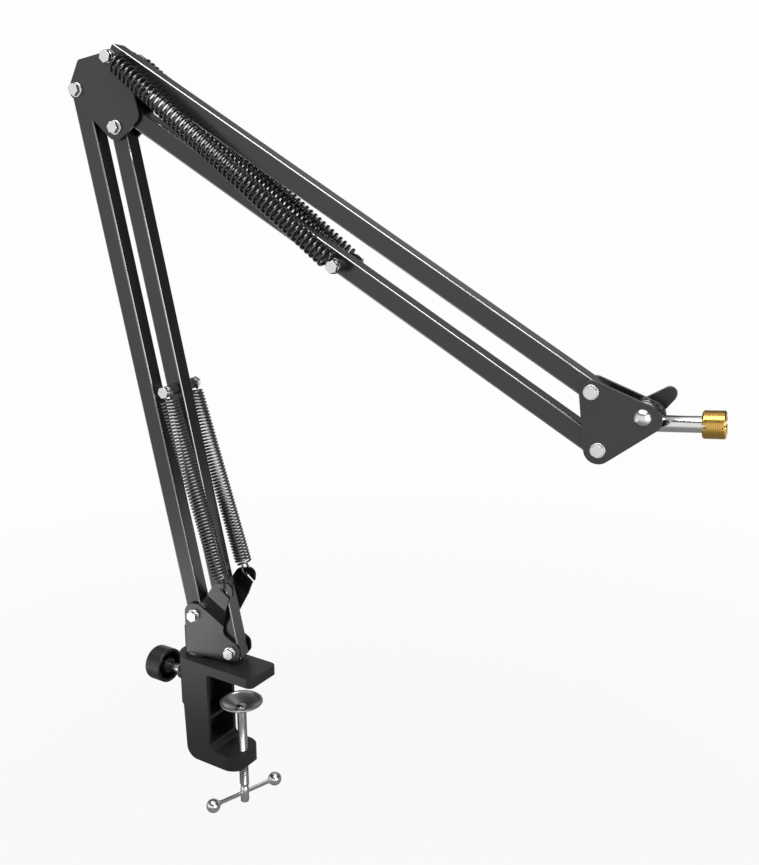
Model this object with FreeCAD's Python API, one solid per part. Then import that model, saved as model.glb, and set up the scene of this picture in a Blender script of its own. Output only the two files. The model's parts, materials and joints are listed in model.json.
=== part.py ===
import FreeCAD
import Part
import math
import os
from FreeCAD import Vector

# Microphone boom arm: a desk clamp, a swivelling base and two spring-balanced parallelogram arms.
# Millimetres. The origin is on the desk face of the upper jaw, on the clamp screw's axis.
# +X runs out along the jaws and +Z is up. The arm is drawn in its own upright plane, with its
# origin on the swivel post's axis at desk level, and is turned by SWIVEL about that post.

# Stance
SWIVEL = 10.0
LOWER_LEAN = 11.1
UPPER_DROP = 31.6

# Linkage
LOWER_LENGTH = 360.0
UPPER_LENGTH = 360.0
PIVOT_FORWARD = 3.0
PIVOT_RISE = 30.0
LOWER_STEP_X = 28.5
LOWER_STEP_Z = -23.6
ELBOW_TOP_X = 32.2
ELBOW_TOP_Z = 17.8
UPPER_STEP_X = 5.5
UPPER_STEP_Z = -33.1
TILT_X = 29.0
TILT_Z = -12.3
LOWER_ANCHOR_REACH = 188.6
UPPER_ANCHOR_REACH = 172.6

# Square tube bars
BAR_WIDTH = 12.0
BAR_DEPTH = 12.0
BAR_WALL = 1.2
BAR_EDGE = 1.0
BAR_INNER_EDGE = 0.4
BAR_OVERHANG = 5.9
BAR_END_CORNER = 0.8
TOP_BAR_TAIL = 8.0

# Sheet plates and the room beside the bars
SHEET = 2.0
SIDE_GAP = 0.5
END_PLAY = 0.1
FIT = 0.05

# Fasteners
BOLT_RADIUS = 2.0
BUSH_RADIUS = 3.6
HEX_FLATS = 7.0
HEAD_HEIGHT = 3.0
NUT_HEIGHT = 3.2
WASHER_RADIUS = 4.5
WASHER_THICKNESS = 0.8
THREAD_END = 0.8
SLEEVE_RADIUS = 3.6
SPRING_WASHER_RADIUS = 3.8

# Extension springs
SPRING_STANDOFF = 7.0
HOOK_PLAY = 0.2
HOOK_NECK = 3.0
HOOK_END = 1.3 * math.pi
UPPER_SPRING_DIAMETER = 12.2
UPPER_WIRE = 1.9
UPPER_HOOK_RADIUS = 3.9
UPPER_CURLS = 24
LOWER_SPRING_DIAMETER = 12.0
LOWER_WIRE = 1.5
LOWER_HOOK_RADIUS = 3.9
LOWER_CURLS = 24

# Elbow plate
ELBOW_REAR_RADIUS = 5.7
ELBOW_FRONT_RADIUS = 8.0
ELBOW_TOP_RADIUS = 5.6
ELBOW_LOBE_X = 40.6
ELBOW_LOBE_Z = -16.0
ELBOW_LOBE_RADIUS = 6.3
ELBOW_SHOULDER_X = 4.4
ELBOW_SHOULDER_Z = 15.9
ELBOW_SHOULDER_RADIUS = 2.4

# Head plate and tilt joint
HEAD_TOP_RADIUS = 6.9
HEAD_LOW_RADIUS = 8.3
HEAD_NOSE_RADIUS = 8.5
HEAD_NOSE_SHIFT = 1.3
TILT_BOLT_RADIUS = 3.0
TILT_HEAD_RADIUS = 5.0
TILT_HEAD_HEIGHT = 2.8
EYE_RADIUS = 9.6
EYE_HALF = 5.0
FRICTION_WASHER_RADIUS = 8.0
WING_INSERT_RADIUS = 4.5
WING_HUB_RADIUS = 7.0
WING_HUB_LENGTH = 9.0
WING_REACH = 19.0
WING_TIP_RADIUS = 4.2
WING_THICKNESS = 4.5
WING_ANGLE = 42.0

# Microphone rod and thread adapter
ROD_RADIUS = 4.76
ROD_DROP = 4.6
ROD_RISE = 4.0
ROD_LENGTH = 42.0
ADAPTER_START = 31.0
ADAPTER_LENGTH = 12.6
ADAPTER_RADIUS = 7.94
ADAPTER_CHAMFER = 0.8
ADAPTER_SLOT_WIDTH = 2.4
ADAPTER_SLOT_DEPTH = 2.2

# Base bracket, from its rear pivot
BRACKET_REAR = -9.6
BRACKET_BEND = 3.0
WEB_TOP = -10.0
BRACKET_CHEEK_REAR = -7.4
CHEEK_TOP = 8.8
CHEEK_TOP_RADIUS = 7.6
CHEEK_FRONT = 36.0
CHEEK_FRONT_RADIUS = 5.5
RELIEF_X = 5.6
RELIEF_WIDTH = 1.6
RELIEF_DEPTH = 4.5
WAIST_TOP_X = 24.0
WAIST_TOP_Z = -4.6
WAIST_X = 22.6
WAIST_Z = -10.2
WAIST_RADIUS = 6.0
SHOULDER_Z = -18.6
JOGGLE_ANGLE = 35.0
JOGGLE_START = 10.0
JOGGLE_END = 27.4
EAR_REAR_X = 17.0
EAR_REAR_Z = 21.6
EAR_CREST_X = 23.2
EAR_CREST_Z = 30.6
EAR_TIP_X = 37.8
EAR_TIP_Z = 33.6
EAR_RADIUS = 5.0
HOOK_TIP_X = 36.4
HOOK_TIP_Z = 23.0
EAR_HEEL_X = 34.0
EAR_HEEL_Z = 20.4
EAR_SLOT_X = 30.1
EAR_SLOT_Z = 26.8
EAR_SLOT_ANGLE = 42.0
EAR_SLOT_WIDTH = 2.6
FLOOR_REACH = 16.0
CORNER_RADIUS = 1.2

# Swivel post
POST_RADIUS = 5.0
POST_NECK_RADIUS = 3.4
POST_FLANGE_RADIUS = 8.5
POST_FLANGE = 1.0
POST_DEPTH = 33.0
POST_RIVET_RADIUS = 4.4
POST_RIVET_HEIGHT = 1.6

# Clamp frame
POST_TO_SCREW = 38.6
JAW_THICKNESS = 7.0
JAW_HALF_WIDTH = 14.5
JAW_REACH = 22.0
JAW_CORNER = 5.5
THROAT_DEPTH = 18.8
THROAT_HEIGHT = 59.2
THROAT_ROOT = 2.5
THROAT_FOOT = 5.0
LOWER_JAW_THICKNESS = 11.5
LOWER_JAW_REACH = 6.9
LOWER_JAW_CORNER = 12.5
LOWER_JAW_NOSE = 3.0
SPINE_REACH = 4.6
SPINE_DRAFT = 3.0
SPINE_HEEL = 9.0
SPINE_SIDE_WALL = 2.6
SPINE_BACK_WALL = 3.2
SPINE_END_WALL = 4.0
RIB_DROP = 37.0
RIB_THICKNESS = 2.4
RIB_SETBACK = 1.5
SOCKET_RADIUS = 13.6
SOCKET_CORE_RADIUS = 9.0
SOCKET_DEPTH = 38.0
SOCKET_FLOOR = 3.0
COLLAR_RADIUS = 9.5
COLLAR_HEIGHT = 1.0
EDGE_ROUND = 1.2

# Swivel knob and its screw
KNOB_DROP = 12.7
KNOB_RADIUS = 12.6
KNOB_LENGTH = 14.6
KNOB_GAP = 12.6
KNOB_WALL = 2.2
KNOB_CUP = 8.0
KNOB_HUB_RADIUS = 5.5
KNOB_ROUND = 3.0
KNOB_MOUTH_ROUND = 0.9
KNOB_SCREW_RADIUS = 3.0
KNOB_SCREW_GRIP = 10.5
SCREW_BOSS_RADIUS = 6.0
SCREW_BOSS_HEIGHT = 3.0

# Clamp screw, pad and tommy bar
SCREW_RADIUS = 3.4
SCREW_END_RADIUS = 3.0
SCREW_END_LENGTH = 12.5
SCREW_NECK_RADIUS = 2.4
SCREW_LENGTH = 75.0
SCREW_PEEN_RADIUS = 3.8
SCREW_PEEN_HEIGHT = 1.4
PAD_DROP = 21.0
PAD_RADIUS = 15.2
PAD_DEPTH = 4.6
PAD_THICKNESS = 1.0
PAD_HUB_RADIUS = 5.0
PAD_LIP = 1.8
TOMMY_RISE = 7.2
TOMMY_RADIUS = 1.5
TOMMY_SPAN = 52.0
TOMMY_TURN = 72.0
BALL_RADIUS = 5.0

# Places worked out from the sizes above
INNER = BAR_DEPTH / 2 + SIDE_GAP
OUTER = INNER + SHEET
SPRING_Y = OUTER + SPRING_STANDOFF
BRACKET_UNDER = JAW_THICKNESS + COLLAR_HEIGHT + POST_FLANGE
ACROSS = Vector(0, 1, 0)
UP = Vector(0, 0, 1)
ORIGIN = Vector(0, 0, 0)
LOWER_STEP = Vector(LOWER_STEP_X, 0, LOWER_STEP_Z)
UPPER_STEP = Vector(UPPER_STEP_X, 0, UPPER_STEP_Z)
LOWER_DIR = Vector(-math.sin(math.radians(LOWER_LEAN)), 0, math.cos(math.radians(LOWER_LEAN)))
UPPER_DIR = Vector(math.cos(math.radians(UPPER_DROP)), 0, -math.sin(math.radians(UPPER_DROP)))
BASE_REAR = Vector(PIVOT_FORWARD, 0, BRACKET_UNDER + PIVOT_RISE)
BASE_FRONT = BASE_REAR + LOWER_STEP
ELBOW_REAR = BASE_REAR + LOWER_DIR * LOWER_LENGTH
ELBOW_FRONT = BASE_FRONT + LOWER_DIR * LOWER_LENGTH
ELBOW_TOP = ELBOW_REAR + Vector(ELBOW_TOP_X, 0, ELBOW_TOP_Z)
ELBOW_LOW = ELBOW_TOP + UPPER_STEP
HEAD_TOP = ELBOW_TOP + UPPER_DIR * UPPER_LENGTH
HEAD_LOW = ELBOW_LOW + UPPER_DIR * UPPER_LENGTH
TILT = HEAD_TOP + Vector(TILT_X, 0, TILT_Z)
LOWER_ANCHOR = BASE_FRONT + LOWER_DIR * LOWER_ANCHOR_REACH
UPPER_ANCHOR = ELBOW_LOW + UPPER_DIR * UPPER_ANCHOR_REACH
EAR_SEAT = BASE_REAR + Vector(EAR_SLOT_X, 0, EAR_SLOT_Z)
ROUND_CUT = (BAR_WIDTH / 2, BAR_WIDTH / 2)
SQUARE_CUT = (BAR_OVERHANG, BAR_END_CORNER)
TAIL_CUT = (TOP_BAR_TAIL, BAR_END_CORNER)


def rod(start, end, radius):
    """A round bar between two points."""
    axis = end - start
    return Part.makeCylinder(radius, axis.Length, start, axis)


def pin(at, y0, y1, radius):
    """A round bar across the arm's plane, from y0 to y1."""
    return rod(Vector(at.x, y0, at.z), Vector(at.x, y1, at.z), radius)


def ring(at, y0, y1, outer, inner):
    """A washer, sleeve or bush across the arm's plane."""
    return pin(at, y0, y1, outer).cut(pin(at, y0, y1, inner))


def hexagon(at, y0, y1, flats):
    """A hexagonal prism across the arm's plane, with a flat facing up."""
    radius = flats / math.sqrt(3)
    corners = []
    for k in range(7):
        angle = k * math.pi / 3
        corners.append(Vector(at.x + radius * math.cos(angle), y0, at.z + radius * math.sin(angle)))
    return Part.Face(Part.makePolygon(corners)).extrude(Vector(0, y1 - y0, 0))


def box(x0, x1, y0, y1, z0, z1):
    """A block between two corners."""
    return Part.makeBox(x1 - x0, y1 - y0, z1 - z0, Vector(x0, y0, z0))


def closed_wire(spans):
    """One closed wire through (start, middle, end) spans, with a line up to each span's start."""
    edges = []
    last = spans[-1][2]
    for start, middle, end in spans:
        if (start - last).Length > 1e-6:
            edges.append(Part.LineSegment(last, start).toShape())
        if (end - start).Length > 1e-6:
            edges.append(Part.Arc(start, middle, end).toShape())
        last = end
    return Part.Wire(edges)


def rounded_outline(corners, place):
    """A closed wire through (u, v, radius) corners, put into space by place(u, v)."""
    spans = []
    count = len(corners)
    for k, (u, v, radius) in enumerate(corners):
        here = Vector(u, v, 0)
        back = Vector(corners[k - 1][0], corners[k - 1][1], 0) - here
        ahead = Vector(corners[(k + 1) % count][0], corners[(k + 1) % count][1], 0) - here
        back.normalize()
        ahead.normalize()
        half = back.getAngle(ahead) / 2
        reach = radius / math.tan(half)
        bisector = (back + ahead).normalize()
        middle = here + bisector * (radius / math.sin(half) - radius)
        points = [here + back * reach, middle, here + ahead * reach]
        spans.append([place(p.x, p.y) for p in points])
    return closed_wire(spans)


def lobed_outline(lobes):
    """The taut outline round (centre, radius) lobes, taken anticlockwise in the XZ plane."""
    count = len(lobes)
    normals = []
    for k, (centre, radius) in enumerate(lobes):
        other, other_radius = lobes[(k + 1) % count]
        along = other - centre
        sine = (radius - other_radius) / along.Length
        along.normalize()
        side = Vector(along.z, 0, -along.x)
        normals.append(side * math.sqrt(1 - sine * sine) + along * sine)
    spans = []
    for k, (centre, radius) in enumerate(lobes):
        first = math.atan2(normals[k - 1].z, normals[k - 1].x)
        last = math.atan2(normals[k].z, normals[k].x)
        turn = first + (last - first) % (2 * math.pi) / 2
        middle = Vector(math.cos(turn), 0, math.sin(turn))
        spans.append([centre + n * radius for n in (normals[k - 1], middle, normals[k])])
    return closed_wire(spans)


def sheet_between(wire, y0, y1):
    """The flat face inside a wire of the XZ plane, as a solid from y0 to y1."""
    face = Part.Face(wire)
    face.translate(Vector(0, y0, 0))
    return face.extrude(Vector(0, y1 - y0, 0))


def upright(u, v):
    """A point of the arm's plane."""
    return Vector(u, 0, v)


def level(u, v):
    """A point of the desk's plane."""
    return Vector(u, v, 0)


def revolved(profile, axis):
    """The solid of revolution of (radius, distance) corners about a line from the origin."""
    side = Vector(1, 0, 0) if abs(axis.z) > 0.5 else Vector(0, 0, 1)
    points = [side * r + axis * d for r, d in profile]
    points.append(points[0])
    return Part.Face(Part.makePolygon(points)).revolve(ORIGIN, axis, 360)


def round_edges(shape, radius, centre):
    """A shape's circular edges of one radius about one point."""
    found = []
    for edge in shape.Edges:
        curve = edge.Curve
        if isinstance(curve, Part.Circle) and abs(curve.Radius - radius) < 1e-6:
            if (curve.Center - centre).Length < 1e-6:
                found.append(edge)
    return found


def group(solids):
    """Several separate solids that share one node."""
    return Part.makeCompound(solids)


def bolt(at, grip):
    """A hex bolt whose head and nut both seat at the distance grip from the arm's plane."""
    head = hexagon(at, -grip - HEAD_HEIGHT, -grip, HEX_FLATS)
    shank = pin(at, -grip, grip + NUT_HEIGHT + THREAD_END, BOLT_RADIUS)
    return head.fuse(shank).removeSplitter()


def nut(at, grip):
    """The hex nut of such a bolt."""
    return hexagon(at, grip, grip + NUT_HEIGHT, HEX_FLATS).cut(pin(at, grip, grip + NUT_HEIGHT, BOLT_RADIUS))


def washers(at, seat, radius):
    """A washer under the head and one under the nut."""
    front = ring(at, -seat - WASHER_THICKNESS, -seat, radius, BOLT_RADIUS)
    back = ring(at, seat, seat + WASHER_THICKNESS, radius, BOLT_RADIUS)
    return [front, back]


def bushes(points):
    """Sleeves in a bar's holes, a little longer than the bar is deep."""
    half = INNER - END_PLAY
    return group([ring(at, -half, half, BUSH_RADIUS, BOLT_RADIUS + FIT) for at in points])


def bar(start, end, start_cut, end_cut, anchors):
    """A square tube with holes for its bushes and for any spring bolt.

    Each cut is the tube's overhang past that pivot and the radius of its two corners there.
    """
    along = (end - start).normalize()
    side = ACROSS.cross(along)
    half = BAR_WIDTH / 2
    tail, tail_corner = start_cut
    nose, nose_corner = end_cut
    origin = start - along * tail
    length = tail + (end - start).Length + nose

    def section(width, depth, edge):
        corners = []
        for su, sv in ((-1, -1), (1, -1), (1, 1), (-1, 1)):
            corners.append((su * width / 2, sv * depth / 2, edge))
        wire = rounded_outline(corners, lambda u, v: origin + side * u + ACROSS * v)
        return Part.Face(wire).extrude(along * length)

    tube = section(BAR_WIDTH, BAR_DEPTH, BAR_EDGE)
    tube = tube.cut(section(BAR_WIDTH - 2 * BAR_WALL, BAR_DEPTH - 2 * BAR_WALL, BAR_INNER_EDGE))
    corners = [(0, -half, tail_corner), (length, -half, nose_corner), (length, half, nose_corner),
               (0, half, tail_corner)]
    ends = rounded_outline(corners, lambda u, v: origin + along * u + side * v)
    tube = tube.common(sheet_between(ends, -BAR_DEPTH, BAR_DEPTH))
    for at in (start, end):
        tube = tube.cut(pin(at, -BAR_DEPTH, BAR_DEPTH, BUSH_RADIUS))
    for at in anchors:
        tube = tube.cut(pin(at, -BAR_DEPTH, BAR_DEPTH, BOLT_RADIUS))
    return tube


def spring_anchor(at, seat, wire):
    """The bolt, sleeves, washers and nut that hold two spring hooks, one on each side."""
    hook_in = SPRING_Y - wire / 2 - HOOK_PLAY
    hook_out = SPRING_Y + wire / 2 + HOOK_PLAY
    sleeves = []
    for y0, y1 in ((-hook_in, -seat), (seat, hook_in)):
        sleeves.append(ring(at, y0, y1, SLEEVE_RADIUS, BOLT_RADIUS))
    grip = hook_out + WASHER_THICKNESS
    return bolt(at, grip), group(sleeves), group(washers(at, hook_out, SPRING_WASHER_RADIUS)), nut(at, grip)


def biarc(p1, t1, p2, t2):
    """Two arcs from p1 along t1 to p2 along t2, as edges."""
    v = p2 - p1
    t = t1 + t2
    spread = 2 * (1 - t1.dot(t2))
    if spread < 1e-9:
        d = v.dot(v) / (4 * v.dot(t2))
    else:
        d = (math.sqrt(v.dot(t) ** 2 + spread * v.dot(v)) - v.dot(t)) / spread
    q1 = p1 + t1 * d
    q2 = p2 - t2 * d
    joint = (q1 + q2) * 0.5
    edges = []
    for start, corner, end in ((p1, q1, joint), (joint, q2, p2)):
        middle = (start + end) * 0.5
        rise = corner - middle
        half = (end - start).Length / 2
        bulge = half * math.tan(math.atan2(rise.Length, half) / 2)
        edges.append(Part.Arc(start, middle + rise.normalize() * bulge, end).toShape())
    return edges


def hook_curve(base, outward, across, coil, hook, pitch):
    """The point at an angle on a spring's end: a helix that rises into a ring over a half turn."""
    other = outward.cross(across)

    def point(angle):
        share = min(max((angle + math.pi) / math.pi, 0.0), 1.0)
        share = share * share * (3 - 2 * share)
        lift = pitch * (angle + math.pi) / (2 * math.pi)
        helix = across * math.cos(angle) + other * math.sin(angle)
        helix = helix * coil + outward * lift
        loop = across * (hook * math.cos(angle)) + outward * (hook + HOOK_NECK + hook * math.sin(angle))
        return base + helix * (1 - share) + loop * share

    return point


def heading(curve, angle):
    """The unit tangent of a curve at an angle."""
    step = 1e-4
    return (curve(angle + step) - curve(angle - step)).normalize()


def spring(name, start, end, start_seat, end_seat, across_start, across_end, diameter, wire, hook,
           curls):
    """An extension spring with a ring at each end, as one tube.

    The rings are centred on the line from start to end, start_seat and end_seat inside those points.
    """
    coil = (diameter - wire) / 2
    axis = (end - start).normalize()
    base_start = start + axis * (start_seat + hook + HOOK_NECK)
    base_end = end - axis * (end_seat + hook + HOOK_NECK)
    twist = math.atan2(axis.dot(across_start.cross(across_end)), across_start.dot(across_end))
    turn = 2 * math.pi * curls + twist
    pitch = (base_end - base_start).Length * 2 * math.pi / turn
    first = hook_curve(base_start, axis * -1, across_start, coil, hook, pitch)
    last = hook_curve(base_end, axis, across_end, coil, hook, pitch)
    other = axis.cross(across_start)

    def body(angle):
        spoke = across_start * math.cos(angle) + other * math.sin(angle)
        return base_start + axis * (pitch * angle / (2 * math.pi)) - spoke * coil

    quarters = [HOOK_END, math.pi, math.pi / 2, 0.0, -math.pi / 2]
    stations = [(first(a), heading(first, a) * -1) for a in quarters]
    halves = 2 * curls
    for k in range(halves + 1):
        angle = turn * k / halves
        stations.append((body(angle), heading(body, angle)))
    stations += [(last(a), heading(last, a)) for a in reversed(quarters)]
    edges = []
    for (p1, t1), (p2, t2) in zip(stations, stations[1:]):
        edges += biarc(p1, t1, p2, t2)
    path = Part.Wire(edges)
    tube = path.makePipeShell([Part.Wire(Part.Circle(*stations[0], wire / 2).toShape())], True, False)
    solid = Part.Solid(tube) if tube.ShapeType == "Shell" else tube
    report_gap(name, edges, wire)
    return solid


def report_gap(name, edges, wire):
    """Print a tube's least gap to itself, measured on points along its path."""
    points = []
    for edge in edges:
        points += edge.discretize(5)[:-1]
    lengths = [0.0]
    for a, b in zip(points, points[1:]):
        lengths.append(lengths[-1] + (b - a).Length)
    least = math.inf
    apart = 4 * wire
    for i, a in enumerate(points):
        for j in range(i + 1, min(i + 80, len(points))):
            if lengths[j] - lengths[i] > apart:
                least = min(least, (points[j] - a).Length)
    print(f"{name}: least gap to itself {least - wire:.2f} mm")


def clamp_side():
    """The clamp frame's outline from the side, without its socket."""
    rear = -POST_TO_SCREW - SPINE_REACH
    under = -THROAT_HEIGHT
    bottom = under - LOWER_JAW_THICKNESS
    corners = [
        (rear, JAW_THICKNESS, EDGE_ROUND),
        (rear + SPINE_DRAFT, bottom, SPINE_HEEL),
        (LOWER_JAW_REACH, bottom, LOWER_JAW_NOSE),
        (LOWER_JAW_REACH, under, EDGE_ROUND),
        (-THROAT_DEPTH, under, THROAT_FOOT),
        (-THROAT_DEPTH, 0, THROAT_ROOT),
        (JAW_REACH, 0, EDGE_ROUND),
        (JAW_REACH, JAW_THICKNESS, EDGE_ROUND),
    ]
    wire = rounded_outline(corners, upright)
    return sheet_between(wire, -JAW_HALF_WIDTH, JAW_HALF_WIDTH)


def jaw_plan(reach, corner, z0, z1):
    """A jaw's outline from above, as a block from z0 to z1 that runs back past the spine."""
    rear = -POST_TO_SCREW - SOCKET_RADIUS
    corners = [
        (rear, -JAW_HALF_WIDTH, EDGE_ROUND),
        (reach, -JAW_HALF_WIDTH, corner),
        (reach, JAW_HALF_WIDTH, corner),
        (rear, JAW_HALF_WIDTH, EDGE_ROUND),
    ]
    face = Part.Face(rounded_outline(corners, level))
    face.translate(UP * z0)
    return face.extrude(UP * (z1 - z0))


def clamp_frame():
    """The cast C-frame: socket and upper jaw above, hollow spine, and lower jaw with the screw hole."""
    post = Vector(-POST_TO_SCREW, 0, 0)
    middle = -THROAT_HEIGHT / 2
    bottom = -THROAT_HEIGHT - LOWER_JAW_THICKNESS
    side = clamp_side()
    upper = side.common(jaw_plan(JAW_REACH, JAW_CORNER, middle, JAW_THICKNESS))
    lower = side.common(jaw_plan(LOWER_JAW_REACH, LOWER_JAW_CORNER, bottom, middle))
    socket_low = JAW_THICKNESS - SOCKET_DEPTH
    socket = Part.makeCylinder(SOCKET_RADIUS, SOCKET_DEPTH, post + UP * socket_low)
    inside = -THROAT_DEPTH - THROAT_ROOT
    socket = socket.common(box(-POST_TO_SCREW - SOCKET_RADIUS, inside, -SOCKET_RADIUS, SOCKET_RADIUS,
                               socket_low, JAW_THICKNESS))
    collar = Part.makeCylinder(COLLAR_RADIUS, COLLAR_HEIGHT, post + UP * JAW_THICKNESS)
    knob_axis = post - UP * KNOB_DROP
    boss_end = SOCKET_RADIUS + SCREW_BOSS_HEIGHT
    boss = rod(knob_axis, knob_axis - Vector(boss_end, 0, 0), SCREW_BOSS_RADIUS)
    frame = upper.fuse([lower, socket, collar, boss])

    rear = -POST_TO_SCREW - SPINE_REACH + SPINE_DRAFT + SPINE_BACK_WALL
    wall = JAW_HALF_WIDTH - SPINE_SIDE_WALL
    hollow = box(rear, -THROAT_DEPTH, -wall, wall, SPINE_END_WALL - THROAT_HEIGHT, -SPINE_END_WALL)
    rib = box(rear, -THROAT_DEPTH - RIB_SETBACK, -wall, wall, -RIB_DROP, RIB_THICKNESS - RIB_DROP)
    core = Part.makeCylinder(SOCKET_CORE_RADIUS, SOCKET_DEPTH, post + UP * socket_low)
    frame = frame.cut(hollow.cut(rib).cut(core))

    bore_low = socket_low + SOCKET_FLOOR
    bore_height = JAW_THICKNESS + COLLAR_HEIGHT - bore_low
    frame = frame.cut(Part.makeCylinder(POST_RADIUS + FIT, bore_height, post + UP * bore_low))
    frame = frame.cut(rod(knob_axis, knob_axis - Vector(boss_end, 0, 0), KNOB_SCREW_RADIUS + FIT))
    hole = rod(Vector(0, 0, bottom), Vector(0, 0, -THROAT_HEIGHT), SCREW_RADIUS + FIT)
    return frame.cut(hole).removeSplitter()


def clamp_screw():
    """The spindle, its neck and peened tip above the pad, and the hole for the tommy bar."""
    shoulder = -PAD_DROP - PAD_DEPTH - PAD_THICKNESS
    end = shoulder - SCREW_LENGTH
    tip = shoulder + PAD_THICKNESS
    peen = tip + SCREW_PEEN_HEIGHT
    dome = SCREW_PEEN_RADIUS * 0.7
    plain = end + SCREW_END_LENGTH
    profile = [(0, end), (SCREW_END_RADIUS, end), (SCREW_END_RADIUS, plain), (SCREW_RADIUS, plain),
               (SCREW_RADIUS, shoulder), (SCREW_NECK_RADIUS, shoulder),
               (SCREW_NECK_RADIUS, tip), (SCREW_PEEN_RADIUS, tip), (dome, peen), (0, peen)]
    hole_at = Vector(0, 0, end + TOMMY_RISE)
    reach = tommy_direction() * (2 * SCREW_RADIUS)
    return revolved(profile, UP).cut(rod(hole_at - reach, hole_at + reach, TOMMY_RADIUS + FIT))


def clamp_pad():
    """The pressed dish, open upwards, with a flat hub and a rolled lip."""
    rim = -PAD_DROP
    base = rim - PAD_DEPTH
    under = base - PAD_THICKNESS
    hole = SCREW_NECK_RADIUS + FIT
    inner = PAD_RADIUS - PAD_LIP
    profile = [(hole, base), (hole, under), (PAD_HUB_RADIUS, under), (PAD_RADIUS, rim - PAD_THICKNESS),
               (PAD_RADIUS, rim), (inner, rim), (PAD_HUB_RADIUS, base)]
    return revolved(profile, UP)


def tommy_direction():
    """The way the tommy bar points at rest."""
    turn = math.radians(TOMMY_TURN)
    return Vector(math.cos(turn), math.sin(turn), 0)


def tommy_bar():
    """The sliding bar and the ball at each of its ends."""
    centre = Vector(0, 0, TOMMY_RISE - PAD_DROP - PAD_DEPTH - PAD_THICKNESS - SCREW_LENGTH)
    reach = tommy_direction() * (TOMMY_SPAN / 2)
    handle = rod(centre - reach, centre + reach, TOMMY_RADIUS)
    balls = []
    for at in (centre - reach, centre + reach):
        balls.append(Part.makeSphere(BALL_RADIUS, at).cut(handle))
    return handle, group(balls)


def swivel_knob():
    """The hand knob, hollow towards the clamp round its hub, and the screw that pinches the post."""
    axis = Vector(-1, 0, 0)
    mouth = SOCKET_RADIUS + SCREW_BOSS_HEIGHT + KNOB_GAP
    end = mouth + KNOB_LENGTH
    floor = mouth + KNOB_CUP
    grip = mouth + KNOB_SCREW_GRIP
    cup = KNOB_RADIUS - KNOB_WALL
    profile = [(KNOB_SCREW_RADIUS, mouth), (KNOB_HUB_RADIUS, mouth), (KNOB_HUB_RADIUS, floor), (cup, floor),
               (cup, mouth), (KNOB_RADIUS, mouth), (KNOB_RADIUS, end), (0, end), (0, grip),
               (KNOB_SCREW_RADIUS, grip)]
    at = Vector(-POST_TO_SCREW, 0, -KNOB_DROP)
    knob = revolved(profile, axis)
    for distance, radius in ((mouth, KNOB_MOUTH_ROUND), (end, KNOB_ROUND)):
        knob = knob.makeFillet(radius, round_edges(knob, KNOB_RADIUS, axis * distance))
    knob = knob.translated(at)
    screw = rod(at + axis * (POST_RADIUS + END_PLAY), at + axis * grip, KNOB_SCREW_RADIUS)
    return knob, screw


def swivel_post():
    """The post, riveted into the bracket, and the thrust washer on its shoulder."""
    floor = BRACKET_UNDER + SHEET
    head = floor + POST_RIVET_HEIGHT
    flange = BRACKET_UNDER - POST_FLANGE
    profile = [(0, flange - POST_DEPTH), (POST_RADIUS, flange - POST_DEPTH), (POST_RADIUS, flange),
               (POST_NECK_RADIUS, flange), (POST_NECK_RADIUS, floor), (POST_RIVET_RADIUS, floor),
               (POST_NECK_RADIUS, head), (0, head)]
    washer = [(POST_NECK_RADIUS, flange), (POST_FLANGE_RADIUS, flange),
              (POST_FLANGE_RADIUS, BRACKET_UNDER), (POST_NECK_RADIUS, BRACKET_UNDER)]
    return revolved(profile, UP), revolved(washer, UP)


def cheek_outline():
    """One side of the base bracket with its spring ear, seen square on."""
    rear = BASE_REAR
    corners = [
        (BRACKET_CHEEK_REAR, -PIVOT_RISE, CORNER_RADIUS),
        (CHEEK_FRONT, -PIVOT_RISE, CHEEK_FRONT_RADIUS),
        (CHEEK_FRONT, SHOULDER_Z, CHEEK_FRONT_RADIUS),
        (WAIST_X, WAIST_Z, WAIST_RADIUS),
        (WAIST_TOP_X, WAIST_TOP_Z, CORNER_RADIUS),
        (EAR_HEEL_X, EAR_HEEL_Z, CORNER_RADIUS),
        (HOOK_TIP_X, HOOK_TIP_Z, CORNER_RADIUS),
        (EAR_TIP_X, EAR_TIP_Z, EAR_RADIUS),
        (EAR_CREST_X, EAR_CREST_Z, EAR_RADIUS),
        (EAR_REAR_X, EAR_REAR_Z, CORNER_RADIUS),
        (RELIEF_X, CHEEK_TOP, 0),
        (BRACKET_CHEEK_REAR, CHEEK_TOP, CHEEK_TOP_RADIUS),
    ]
    return rounded_outline(corners, lambda u, v: Vector(rear.x + u, 0, rear.z + v))


def joggled_sheet():
    """A long sheet that steps out from the front cheek's plane to the spring ear's plane."""
    turn = math.radians(JOGGLE_ANGLE)
    across_bend = Vector(math.sin(turn), 0, math.cos(turn))
    along_bend = Vector(math.cos(turn), 0, -math.sin(turn))
    ear_out = SPRING_Y + SHEET / 2
    slope = math.atan2(ear_out - OUTER, JOGGLE_END - JOGGLE_START)
    setback = SHEET * math.tan(slope / 2)
    far = 2 * JOGGLE_END
    section = [(-far, OUTER), (JOGGLE_START, OUTER), (JOGGLE_END, ear_out), (far, ear_out),
               (far, ear_out - SHEET), (JOGGLE_END + setback, ear_out - SHEET),
               (JOGGLE_START + setback, INNER), (-far, INNER)]
    points = [BASE_REAR - along_bend * far + across_bend * m - ACROSS * y for m, y in section]
    points.append(points[0])
    return Part.Face(Part.makePolygon(points)).extrude(along_bend * (2 * far))


def ear_slot():
    """The open slot behind the ear's hook, as a cutter through both ears."""
    turn = math.radians(EAR_SLOT_ANGLE)
    mouth = EAR_SEAT + Vector(math.cos(turn), 0, -math.sin(turn)) * (EAR_TIP_X - EAR_REAR_X)
    half = EAR_SLOT_WIDTH / 2
    reach = 2 * SPRING_Y
    return sheet_between(lobed_outline([(EAR_SEAT, half), (mouth, half)]), -reach, reach)


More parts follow.
